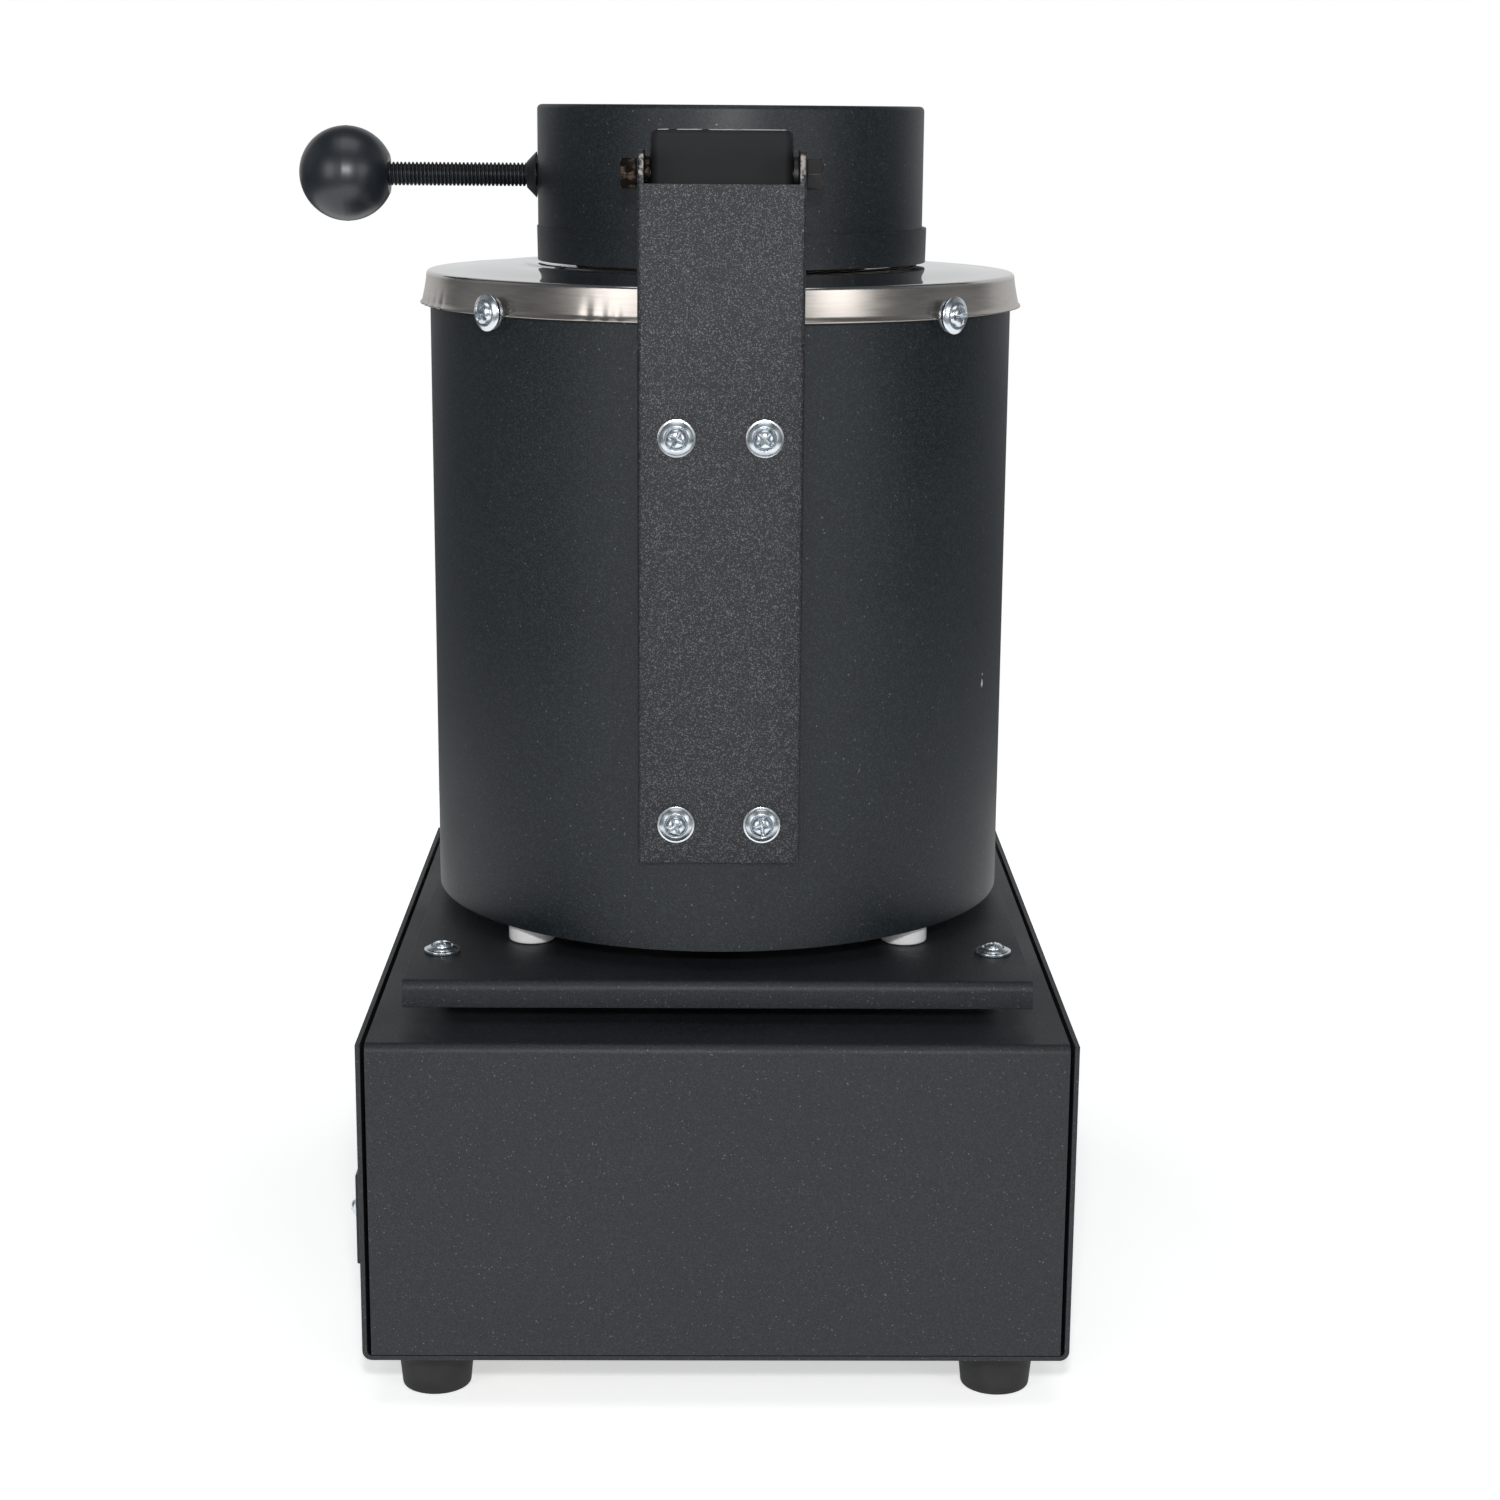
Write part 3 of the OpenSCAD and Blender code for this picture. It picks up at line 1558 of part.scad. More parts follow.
// Hexagon screws through the ears into the lug's cheeks: they turn with the lid
module pivot_screws() {
    hex_head_t = screw_d;
    inner = lug_w / 2 - 2.4;
    color("#6b6259")
    for (s = [-1, 1]) {
        translate([0, pivot_y, pivot_z])
            rotate([0, s * 90, 0]) {
                translate([0, 0, inner])
                    cylinder(r = screw_r, h = bracket_w / 2 + lay_gap - inner + 0.5);
                translate([0, 0, bracket_w / 2 + lay_gap])
                    cylinder(d = nut_af / cos(30), h = hex_head_t, $fn = 6);
            }
    }
}

// Washers between the ears and the lug
module pivot_washers() {
    gap = bracket_w / 2 - bracket_t - lug_w / 2;
    color("#55504a")
    for (s = [-1, 1]) {
        translate([0, pivot_y, pivot_z])
            rotate([0, s * 90, 0])
                translate([0, 0, lug_w / 2 + lay_gap / 2])
                    washer(screw_d, gap - lay_gap, screw_r + pin_fit);
    }
}

chassis_tray();
chassis_cover();
cover_screws();
rubber_feet();
foot_screws();
inlet_housing();
inlet_pins();
inlet_screws();
controller_bezel();
controller_window();
controller_case();
controller_clamps();
display_board();
main_board();
key_set();
key_shift();
key_down();
key_up();
switch_housing();
power_rocker();
lamp_holders();
heat_lamp_lens();
power_lamp_lens();
relay_heat_sink();
solid_state_relay();
terminal_block();
earth_stud();
mains_wiring();
heater_wiring();
thermocouple_cable();
platform_plate();
platform_spacers();
platform_screws();
ceramic_standoffs();
standoff_bolts();
furnace_shell();
base_board();
insulation_jacket();
ceramic_muffle();
heating_coil();
heater_leads();
lead_bushes();
thermocouple();
crucible_pedestal();
graphite_crucible();
top_plate();
rim_screws();
hinge_bracket();
bracket_screws();
lid_shell();
lid_band();
lid_liner();
hinge_lug();
pivot_screws();
pivot_washers();
handle_rod();
handle_nuts();
ball_knob();
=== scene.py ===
import json
import math

import bmesh
import bpy
import numpy as np
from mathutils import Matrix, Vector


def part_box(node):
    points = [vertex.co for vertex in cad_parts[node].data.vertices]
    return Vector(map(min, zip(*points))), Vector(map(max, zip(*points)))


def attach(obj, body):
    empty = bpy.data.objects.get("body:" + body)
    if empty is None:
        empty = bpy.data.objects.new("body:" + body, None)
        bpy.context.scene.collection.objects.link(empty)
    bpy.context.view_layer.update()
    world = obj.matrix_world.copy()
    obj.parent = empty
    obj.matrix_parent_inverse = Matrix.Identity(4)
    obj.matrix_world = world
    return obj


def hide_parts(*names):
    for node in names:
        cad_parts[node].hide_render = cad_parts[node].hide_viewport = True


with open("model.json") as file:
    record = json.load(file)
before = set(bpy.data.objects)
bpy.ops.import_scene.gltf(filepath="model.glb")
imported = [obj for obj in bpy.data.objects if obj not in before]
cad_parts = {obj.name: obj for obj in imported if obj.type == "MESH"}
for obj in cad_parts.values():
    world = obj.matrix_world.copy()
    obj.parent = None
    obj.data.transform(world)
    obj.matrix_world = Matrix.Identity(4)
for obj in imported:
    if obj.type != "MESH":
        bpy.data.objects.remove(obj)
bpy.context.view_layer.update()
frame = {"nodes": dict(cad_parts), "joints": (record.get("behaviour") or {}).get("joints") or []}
nodes = frame["nodes"]
MM = 0.001

# Base tray
# Floor and sides of the base box: 1.2 mm sheet steel, folded and coated black.
# The coat is an epoxy powder with a fine sand texture, baked on: it leaves grey specks of light.


def colour(code):
    """Linear RGBA of an sRGB hex colour: c / 12.92 up to 0.04045, else ((c + 0.055) / 1.055) ^ 2.4."""
    srgb = np.array([int(code[i : i + 2], 16) for i in (1, 3, 5)]) / 255
    linear = np.where(srgb <= 0.04045, srgb / 12.92, ((srgb + 0.055) / 1.055) ** 2.4)
    return (*linear.tolist(), 1.0)


def add(tree, kind, inputs=None, **settings):
    """Adds a shader node with its settings. An input is a value, or a socket to link, or a node whose
    first output is linked."""
    node = tree.nodes.new("ShaderNode" + kind)
    for name, value in settings.items():
        setattr(node, name, value)
    for key, value in (inputs or {}).items():
        if isinstance(value, bpy.types.Node):
            value = next(socket for socket in value.outputs if socket.enabled)
        if isinstance(value, bpy.types.NodeSocket):
            tree.links.new(value, node.inputs[key])
        else:
            node.inputs[key].default_value = value
    return node


def start(name):
    """A new material: returns it, its empty tree and the piece's own coordinates in metres."""
    material = bpy.data.materials.new(name)
    material.use_nodes = True
    material.node_tree.nodes.clear()
    point = add(material.node_tree, "TexCoord").outputs["Object"]
    return material, material.node_tree, point


def close(tree, inputs):
    """Ends a tree with one shader that has these inputs."""
    shader = add(tree, "BsdfPrincipled", inputs)
    add(tree, "OutputMaterial", {"Surface": shader})


def powder_coat(name, base, light, grain_mm, share, height_mm, roughness, flakes, chips=(), worn=None):
    """Black epoxy powder coat. Each grain is a cell of grain_mm, as coarse as it needs to be to show: it
    stands height_mm up and has its own tone. A share of the cells are paler, and a share are metal
    flakes. Chips are (x, y, z, radius) in mm, and worn is (y, z) in metres: bare steel shows in the
    chips, and in streaks beyond worn."""
    material, tree, point = start(name)
    grain = add(tree, "TexVoronoi", {"Vector": point, "Scale": 1 / (grain_mm * MM)})
    cloud = add(tree, "TexNoise", {"Vector": point, "Scale": 1 / (35 * MM), "Detail": 4.0})
    chance = add(tree, "SeparateColor", {0: grain.outputs["Color"]})
    pale = add(tree, "MapRange", {0: chance, 1: 1 - share, 2: 1.0})
    flake = add(tree, "MapRange", {0: chance, 1: 1 - flakes, 2: 1.0})
    cloudy = add(tree, "MapRange", {0: cloud, 1: 0.3, 2: 0.7, 3: 0.0, 4: 0.12})
    skin = add(tree, "Mix", {0: pale, 6: colour(base), 7: colour(light)}, data_type="RGBA")
    skin = add(tree, "Mix", {0: cloudy, 6: skin, 7: colour(light)}, data_type="RGBA")
    skin = add(tree, "Mix", {0: flake, 6: skin, 7: colour("#6e7076")}, data_type="RGBA")
    for x, y, z, radius in chips:
        centre = {0: point, 1: (x * MM, y * MM, z * MM)}
        away = add(tree, "VectorMath", centre, operation="DISTANCE").outputs["Value"]
        ragged = add(tree, "Math", {0: chance, 1: radius * MM}, operation="MULTIPLY")
        chip = add(tree, "Math", {0: away, 1: ragged}, operation="LESS_THAN")
        skin = add(tree, "Mix", {0: chip, 6: skin, 7: colour("#b4b5b6")}, data_type="RGBA")
    if worn:
        axes = add(tree, "SeparateXYZ", {0: point})
        scratch = add(tree, "TexNoise", {"Vector": point, "Scale": 1 / (1.5 * MM), "Detail": 4.0})
        behind = add(tree, "Math", {0: axes.outputs[1], 1: worn[0]}, operation="GREATER_THAN")
        above = add(tree, "Math", {0: axes.outputs[2], 1: worn[1]}, operation="GREATER_THAN")
        streak = add(tree, "MapRange", {0: scratch, 1: 0.45, 2: 0.6})
        bare = add(tree, "Math", {0: behind, 1: above}, operation="MULTIPLY")
        bare = add(tree, "Math", {0: bare, 1: streak}, operation="MULTIPLY")
        skin = add(tree, "Mix", {0: bare, 6: skin, 7: colour("#9c9690")}, data_type="RGBA")
    rough = add(tree, "MapRange", {0: cloud, 1: 0.3, 2: 0.7, 3: roughness - 0.04, 4: roughness + 0.04})
    bump = add(tree, "Bump", {"Height": grain, "Strength": 0.8, "Distance": -height_mm * MM})
    inputs = {"Base Color": skin, "Metallic": flake, "Roughness": rough, "IOR": 1.5, "Normal": bump}
    close(tree, inputs)
    return material


SMOOTH_COAT = ("#040a0e", "#1e2830", 0.32, 0.6, 0.02, 0.5, 0.005)
box_coat = powder_coat("fine_texture_powder_coat", "#070a0e", "#22282e", 0.25, 0.6, 0.03, 0.54, 0.01)
body_coat = powder_coat("smooth_powder_coat", *SMOOTH_COAT)


def rounded_copy(node, body, material, edge_mm):
    """The solid with its corners merged and its sharp edges rounded to edge_mm, in place of the node."""
    mesh = nodes[node].data.copy()
    work = bmesh.new()
    work.from_mesh(mesh)
    bmesh.ops.remove_doubles(work, verts=work.verts, dist=2e-6)
    bmesh.ops.dissolve_limit(
        work, angle_limit=math.radians(0.5), verts=work.verts, edges=work.edges, delimit={"NORMAL"}
    )
    work.to_mesh(mesh)
    work.free()
    mesh.materials.clear()
    mesh.materials.append(material)
    mesh.shade_smooth()
    mesh.set_sharp_from_angle(angle=math.radians(50))
    piece = bpy.data.objects.new(node + "_finished", mesh)
    bpy.context.scene.collection.objects.link(piece)
    bevel = piece.modifiers.new("rounded_edges", "BEVEL")
    bevel.width = edge_mm * MM
    bevel.segments = 2
    bevel.limit_method = "ANGLE"
    bevel.angle_limit = math.radians(45)
    bevel.harden_normals = True
    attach(piece, body)
    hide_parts(node)
    return piece


rounded_copy("chassis_tray", "base", box_coat, 0.25)

# Cover
# Front panel, top and rear of the base box, folded from one sheet that sits between the tray's sides.
# It has the tray's coat and the same soft edges.
rounded_copy("chassis_cover", "base", box_coat, 0.25)

# Screws of the base box
# Pan head cross recess screws with a flange, their washers and hexagon nuts, in zinc-plated steel.
# They hold the cover to the tray's sides, the feet, and the inlet.
FRAME_DOME = 2.4 * MM
FRAME_SHANK = 2 * MM
SMALL_DOME = 1.65 * MM
SMALL_SHANK = 1.5 * MM
WASHER_ROOM = 0.1 * MM
NUT_ROOM = 0.06 * MM
SCREW_STEPS = 96
HEXAGON_STEPS = 72
SCREW_OVER = 5 * MM
WASHER_UNDER = 1.3 * MM
TURN_EACH = 2.4
DOWN = (0, 0, -1)
METAL = {"Metallic": 1.0}


def mottled(name, spots_mm, detail, tones, rough, inputs, stretch=None, span=(0.0, 1.0), grain=None):
    """Spots of spots_mm blend two tones. Rough is a number, or a pair: the spots run from the first to
    the second over their span. Stretch draws the spots out into lines. Grain is a relief of its own: its
    size in mm, detail, strength and depth in mm."""
    material, tree, point = start(name)
    if stretch:
        point = add(tree, "Mapping", {"Vector": point, "Scale": stretch})
    spots = add(tree, "TexNoise", {"Vector": point, "Scale": 1 / (spots_mm * MM), "Detail": detail})
    tone = add(tree, "Mix", {0: spots, 6: colour(tones[0]), 7: colour(tones[1])}, data_type="RGBA")
    if isinstance(rough, tuple):
        rough = add(tree, "MapRange", {0: spots, 1: span[0], 2: span[1], 3: rough[0], 4: rough[1]})
    inputs = {"Base Color": tone, "Roughness": rough, **inputs}
    if grain:
        grain_mm, finer, strength, depth_mm = grain
        relief = add(tree, "TexNoise", {"Vector": point, "Scale": 1 / (grain_mm * MM), "Detail": finer})
        bump = {"Height": relief, "Strength": strength, "Distance": depth_mm * MM}
        inputs["Normal"] = add(tree, "Bump", bump)
    close(tree, inputs)
    return material


# Bright zinc on steel: a blue-white metal with a slightly uneven sheen from the plating bath.
zinc = mottled("bright_zinc_plate", 1.6, 3.0, ("#c3cad1", "#dfe5e9"), (0.25, 0.32), METAL, span=(0.3, 0.7))


def quads(rows, columns, round_rows=False, round_columns=False):
    """Faces of a grid of points: each joins a point to its next row and column, and round ones close up."""
    i, j = np.meshgrid(
        np.arange(rows - (not round_rows)), np.arange(columns - (not round_columns)), indexing="ij"
    )
    below, right = (i + 1) % rows, (j + 1) % columns
    corners = [i * columns + j, below * columns + j, below * columns + right, i * columns + right]
    return np.stack(corners, -1).reshape(-1, 4)


def revolve(profile, steps, shape=None):
    """Each (radius, height) of the profile turned about Z. shape(radius, height, turn) may change both."""
    outline = np.asarray(profile, float)
    turn = np.linspace(0, 2 * np.pi, steps, endpoint=False)[None, :]
    radius = np.repeat(outline[:, :1], steps, 1)
    height = np.repeat(outline[:, 1:], steps, 1)
    if shape:
        radius, height = shape(radius, height, turn)
    points = np.stack([radius * np.cos(turn), radius * np.sin(turn), height], -1)
    return points.reshape(-1, 3), quads(len(outline), steps, round_columns=True)


def soften(outline, reach, steps=4):
    """Replaces each inner corner of an open outline by a parabola that starts and ends at reach from it."""
    points = np.asarray(outline, float)
    rounded = [points[:1]]
    t = np.linspace(0, 1, steps + 1)[:, None]
    for before, corner, after in zip(points, points[1:], points[2:]):
        a, b = before - corner, after - corner
        first = corner + a * min(reach / np.linalg.norm(a), 0.5)
        last = corner + b * min(reach / np.linalg.norm(b), 0.5)
        rounded.append((1 - t) ** 2 * first + 2 * t * (1 - t) * corner + t**2 * last)
    return np.concatenate(rounded + [points[-1:]])


def place(part, origin, up, turn=0.0):
    """Turns a part about Z, lays its Z along up and moves it to the origin."""
    points, faces = part
    z = np.asarray(up, float) / np.linalg.norm(up)
    guide = np.array([0.0, 0.0, 1.0]) if abs(z[2]) < 0.9 else np.array([0.0, 1.0, 0.0])
    x = np.cross(guide, z)
    x /= np.linalg.norm(x)
    y = np.cross(z, x)
    c, s = math.cos(turn), math.sin(turn)
    basis = np.stack([c * x + s * y, c * y - s * x, z])
    return points @ basis + np.asarray(origin, float), faces


def make_piece(name, parts, body, material, replaced=(), crease=35):
    """Joins parts into one piece, closes its seams and poles, turns its faces out and mounts it."""
    starts = np.cumsum([0] + [len(points) for points, _ in parts])
    points = np.concatenate([points for points, _ in parts])
    faces = np.concatenate([faces + first for (_, faces), first in zip(parts, starts)])
    mesh = bpy.data.meshes.new(name)
    mesh.from_pydata(points.tolist(), [], faces.tolist())
    work = bmesh.new()
    work.from_mesh(mesh)
    bmesh.ops.remove_doubles(work, verts=work.verts, dist=1e-6)
    bmesh.ops.recalc_face_normals(work, faces=work.faces)
    work.to_mesh(mesh)
    work.free()
    mesh.shade_smooth()
    mesh.set_sharp_from_angle(angle=math.radians(crease))
    mesh.materials.append(material)
    piece = bpy.data.objects.new(name, mesh)
    bpy.context.scene.collection.objects.link(piece)
    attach(piece, body)
    if replaced:
        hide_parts(*replaced)
    return piece


def solids(node):
    """The points of each separate solid of a node, found by walking along its edges."""
    work = bmesh.new()
    work.from_mesh(nodes[node].data)
    bmesh.ops.remove_doubles(work, verts=work.verts, dist=2e-6)
    found, seen = [], set()
    for first in work.verts:
        if first in seen:
            continue
        seen.add(first)
        open_ends, group = [first], []
        while open_ends:
            vert = open_ends.pop()
            group.append(vert.co[:])
            for other in (edge.other_vert(vert) for edge in vert.link_edges):
                if other not in seen:
                    seen.add(other)
                    open_ends.append(other)
        found.append(np.array(group))
    work.free()
    return found


def measure(points, up):
    """Foot, length and radius of a round solid that stands along up."""
    z = np.asarray(up, float) / np.linalg.norm(up)
    along = points @ z
    flat = points - along[:, None] * z
    middle = (flat.max(0) + flat.min(0)) / 2
    radius = np.linalg.norm(flat - middle, axis=1).max()
    return middle + along.min() * z, np.ptp(along), radius


def cross_recess(radius, turn, reach, depth):
    """Depth of a cross recess: two slots across the middle that get deeper towards it."""
    x, y = np.abs(radius * np.cos(turn)), np.abs(radius * np.sin(turn))
    across, along = np.minimum(x, y), np.maximum(x, y)
    wall = np.clip((0.21 * reach - across) / (0.1 * reach), 0, 1)
    return depth * wall * np.sqrt(np.clip(1 - along / reach, 0, 1))


def thread(core, depth, pitch, low, high, steps, samples):
    """A screw thread: the radius is a triangle wave, cut flat, of height over pitch minus the turn. Each
    pitch has samples rings of points."""
    rings = max(4, int((high - low) / pitch * samples))
    heights = np.linspace(low, high, rings)

    def wave(radius, height, turn):
        phase = (height / pitch - turn / (2 * np.pi)) % 1
        fade = np.clip(np.minimum(height - low, high - height) / pitch, 0, 1)
        return radius + depth * fade * np.clip(2.2 * np.abs(2 * phase - 1) - 0.4, 0, 1), height

    return revolve(np.stack([np.full(rings, core), heights], 1), steps, wave)


def pan_screw(length, radius, dome, shank):
    """Flanged pan head screw: its tip at height 0 and the top of its dome at length. The dome's height
    falls off as (1 - r ^ 2.8) ^ 0.5, and the recess is cut down from it."""
    seat = length - dome
    dome_r = 0.63 * radius
    foot = seat + 0.36 * dome
    r = np.linspace(0, 1, 15)
    top = np.stack([dome_r * r, foot + (length - foot) * (1 - r**2.8) ** 0.5], 1)
    flange = soften(
        [
            [dome_r, foot],
            [1.03 * dome_r, foot - 0.14 * dome],
            [1.14 * dome_r, foot + 0.08 * dome],
            [0.95 * radius, seat + 0.17 * dome],
            [radius, seat + 0.08 * dome],
            [radius, seat],
            [shank, seat],
        ],
        0.04 * radius,
    )
    stem = [[shank, seat], [shank, 0.5 * MM], [shank - 0.4 * MM, 0], [0, 0]]

    def recess(ring, height, turn):
        on_dome = (ring < 0.99 * dome_r) & (height > foot)
        cut = cross_recess(ring, turn, 0.82 * dome_r, 0.85 * dome)
        return ring, height - np.where(on_dome, cut, 0)

    return revolve(np.concatenate([top, flange[1:], stem[1:]]), SCREW_STEPS, recess)


def ring_washer(height, radius, bore):
    """Flat ring with rounded outer edges."""
    outline = [
        [bore, height / 2], [bore, height], [radius, height], [radius, 0], [bore, 0], [bore, height / 2]
    ]
    return revolve(soften(outline, 0.15 * MM, steps=2), steps=48)


def hexagon(height, radius, bore):
    """Six-sided bar: across corners it is 2 * radius, and a cone takes a little off each end's corners."""

    def six_sides(ring, level, turn):
        flat = radius * math.cos(math.pi / 6)
        side = flat / np.cos((turn + math.pi / 6) % (math.pi / 3) - math.pi / 6)
        end = np.minimum(level, height - level)
        cone = flat * 0.97 + end * 1.8
        outside = ring > bore * 1.01 + 1e-9
        return np.where(outside, np.minimum(np.minimum(side, cone), radius), ring), level

    rise = 0.12 * radius
    levels = [height, height - rise / 2, height - rise, rise, rise / 2, 0]
    inside = [[bore, height / 2], [bore, height]]
    outline = inside + [[radius, level] for level in levels] + [[bore, 0], [bore, height / 2]]
    return revolve(outline, HEXAGON_STEPS, six_sides)


def fasteners(node, way, dome, shank, material=zinc):
    """Remakes each screw, washer and nut of a node in full detail, where the node has it. Way is where
    they point, or a function that finds it from a solid's middle. Each is turned TURN_EACH radians more
    than the last, so that the recesses don't line up."""
    parts = []
    for index, points in enumerate(solids(node)):
        up = way((points.max(0) + points.min(0)) / 2) if callable(way) else way
        foot, length, radius = measure(points, up)
        if length > SCREW_OVER:
            part = pan_screw(length, radius, dome, shank)
        elif length < WASHER_UNDER:
            part = ring_washer(length, radius, shank + WASHER_ROOM)
        else:
            part = hexagon(length, radius, shank + NUT_ROOM)
        parts.append(place(part, foot, up, TURN_EACH * index))
    return make_piece(node + "_finished", parts, "base", material, [node])


def sideways(middle):
    """Away from the middle plane, level."""
    return np.array([np.sign(middle[0]), 0, 0])


fasteners("cover_screws", sideways, SMALL_DOME, SMALL_SHANK)
fasteners("inlet_screws", sideways, SMALL_DOME, SMALL_SHANK)
fasteners("foot_screws", DOWN, FRAME_DOME, FRAME_SHANK)

# Feet
# Four tapered feet moulded in black rubber, hollow below, each held by a screw with its head inside.
# Handling leaves them with a dull, slightly dusty skin.


def moulded_rubber():
    """Carbon-black rubber: very dark and matt, with a fine grain and paler dust in patches."""
    material, tree, point = start("moulded_rubber")
    grain = add(tree, "TexNoise", {"Vector": point, "Scale": 1 / (0.7 * MM), "Detail": 2.0})
    dust = add(tree, "TexNoise", {"Vector": point, "Scale": 1 / (7 * MM), "Detail": 4.0})
    patch = add(tree, "MapRange", {0: dust, 1: 0.45, 2: 0.8, 3: 0.0, 4: 0.5})
    skin = add(tree, "Mix", {0: patch, 6: colour("#111112"), 7: colour("#2a2a2b")}, data_type="RGBA")
    bump = add(tree, "Bump", {"Height": grain, "Strength": 0.3, "Distance": 0.1 * MM})
    close(tree, {"Base Color": skin, "Roughness": 0.72, "IOR": 1.52, "Normal": bump})
    return material


rubber = moulded_rubber()
UP = (0, 0, 1)
FOOT_TAPER = 1.2 * MM
FOOT_HOLE = 2.2 * MM
FOOT_HOLLOW = 4.8 * MM
FOOT_WEB = 4 * MM
foot_parts = []
for points in solids("rubber_feet"):
    foot, height, top_r = measure(points, UP)
    floor_r = top_r - FOOT_TAPER
    seat = height - FOOT_WEB
    outside = soften(
        [
            [FOOT_HOLE, seat],
            [FOOT_HOLE, height],
            [top_r - 1 * MM, height],
            [top_r, height - 1 * MM],
            [top_r - 0.2 * MM, height - 3 * MM],
            [floor_r + 0.2 * MM, 2 * MM],
            [floor_r, 0],
            [FOOT_HOLLOW, 0],
            [FOOT_HOLLOW, seat],
            [FOOT_HOLE, seat],
        ],
        0.6 * MM,
    )
    foot_parts.append(place(revolve(outside, steps=72), foot, UP))
make_piece("rubber_feet_finished", foot_parts, "base", rubber, ["rubber_feet"])

# Power inlet
# Appliance inlet moulded in black glass-filled nylon, with a bevelled flange and three flat blades.
# It is screwed to the tray's side.


def moulded_plastic(name, dark, light, roughness):
    """Moulded plastic with a spark-eroded grain: the grains scatter the light evenly."""
    rough = (roughness - 0.06, roughness + 0.06)
    return mottled(name, 14, 3.0, (dark, light), rough, {"IOR": 1.5}, grain=(0.5, 2.0, 0.25, 0.05))


def dress(node, material):
    """Gives a solid that keeps its shape its finish."""
    nodes[node].data.materials.clear()
    nodes[node].data.materials.append(material)


black_nylon = moulded_plastic("glass_filled_nylon", "#141415", "#1d1d1f", 0.48)
# Turned brass: fine lines from the tool, and a little tarnish.
brass = mottled("turned_brass", 4, 3.0, ("#a8873f", "#d9bf78"), (0.2, 0.45), METAL, (1.0, 1.0, 30.0))
rounded_copy("inlet_housing", "base", black_nylon, 0.5)
rounded_copy("inlet_pins", "base", brass, 0.4)

# Temperature controller
# A 96 x 48 mm panel instrument: ABS frame and case, a smoked acrylic window over unlit digits,
# and four grey push keys with printed marks. Two clips pull it against the panel.
black_abs = moulded_plastic("grained_black_abs", "#161718", "#202123", 0.5)
key_grey = moulded_plastic("grey_key_plastic", "#63676c", "#757a80", 0.42)
# Cast acrylic with a dark red smoke: glossy, and the digits show through it.
ACRYLIC = {"IOR": 1.49, "Transmission Weight": 0.92}
smoked_acrylic = mottled("smoked_acrylic", 9, 3.0, ("#a86464", "#b46e6e"), (0.02, 0.07), ACRYLIC)
# Unlit display segment: a milky red resin. A weak glow stands for daylight that the window lets in.
SEGMENT = {"IOR": 1.5, "Emission Color": colour("#c4766c"), "Emission Strength": 0.8}
unlit_segment = mottled("unlit_display_segment", 1.5, 2.0, ("#8f5550", "#a8716a"), 0.4, SEGMENT)
# White pad print: a thin, slightly uneven ink.
white_ink = mottled("white_pad_print", 0.6, 2.0, ("#c9c9c6", "#e8e8e5"), 0.6, {"IOR": 1.5})


def circuit_laminate():
    """Glass-epoxy board under green lacquer, with the weave of the glass just visible."""
    material, tree, point = start("green_circuit_laminate")
    weave = add(tree, "TexChecker", {"Vector": point, "Scale": 1 / (1.2 * MM)})
    threads = {0: weave.outputs["Fac"], 6: colour("#174a2b"), 7: colour("#1d5a34")}
    tone = add(tree, "Mix", threads, data_type="RGBA")
    patch = add(tree, "TexNoise", {"Vector": point, "Scale": 1 / (12 * MM), "Detail": 3.0})
    tone = add(tree, "Mix", {0: patch, 6: tone, 7: colour("#12402a")}, data_type="RGBA")
    close(tree, {"Base Color": tone, "Roughness": 0.3, "IOR": 1.55, "Coat Weight": 0.4})
    return material


laminate = circuit_laminate()
rounded_copy("controller_bezel", "base", black_abs, 0.5)
rounded_copy("controller_window", "base", smoked_acrylic, 0.2)
rounded_copy("controller_case", "base", black_abs, 0.4)
rounded_copy("controller_clamps", "base", zinc, 0.4)
dress("display_board", laminate)
dress("main_board", laminate)


def prism(outline, front, depth):
    """A flat closed outline of (x, z), from the plane y = front to y = front + depth."""
    flat = np.asarray(outline, float)
    middle = flat.mean(0)
    rows = []
    for shape, y in ((0, front), (1, front), (1, front + depth), (0, front + depth)):
        ring = flat if shape else np.repeat(middle[None], len(flat), 0)
        rows.append(np.stack([ring[:, 0], np.full(len(flat), y), ring[:, 1]], 1))
    return np.concatenate(rows), quads(4, len(flat), round_columns=True)


def digit(left, low, width, height, front):
    """Seven bars with pointed ends, in the form of an 8."""
    half = 0.07 * height
    gap = 0.25 * half
    parts = []
    for x0, z0, x1, z1 in (
        (0, 0, 1, 0), (0, 1, 1, 1), (0, 2, 1, 2), (0, 0, 0, 1), (1, 0, 1, 1), (0, 1, 0, 2), (1, 1, 1, 2)
    ):
        a = np.array([left + x0 * width, low + z0 * height / 2])
        b = np.array([left + x1 * width, low + z1 * height / 2])
        way = (b - a) / np.linalg.norm(b - a)
        side = np.array([-way[1], way[0]]) * half
        a, b = a + way * gap, b - way * gap
        tip = way * half
        outline = [a, a + tip + side, b - tip + side, b, b - tip - side, a + tip - side]
        parts.append(prism(outline, front, DIGIT_DEPTH))
    return parts


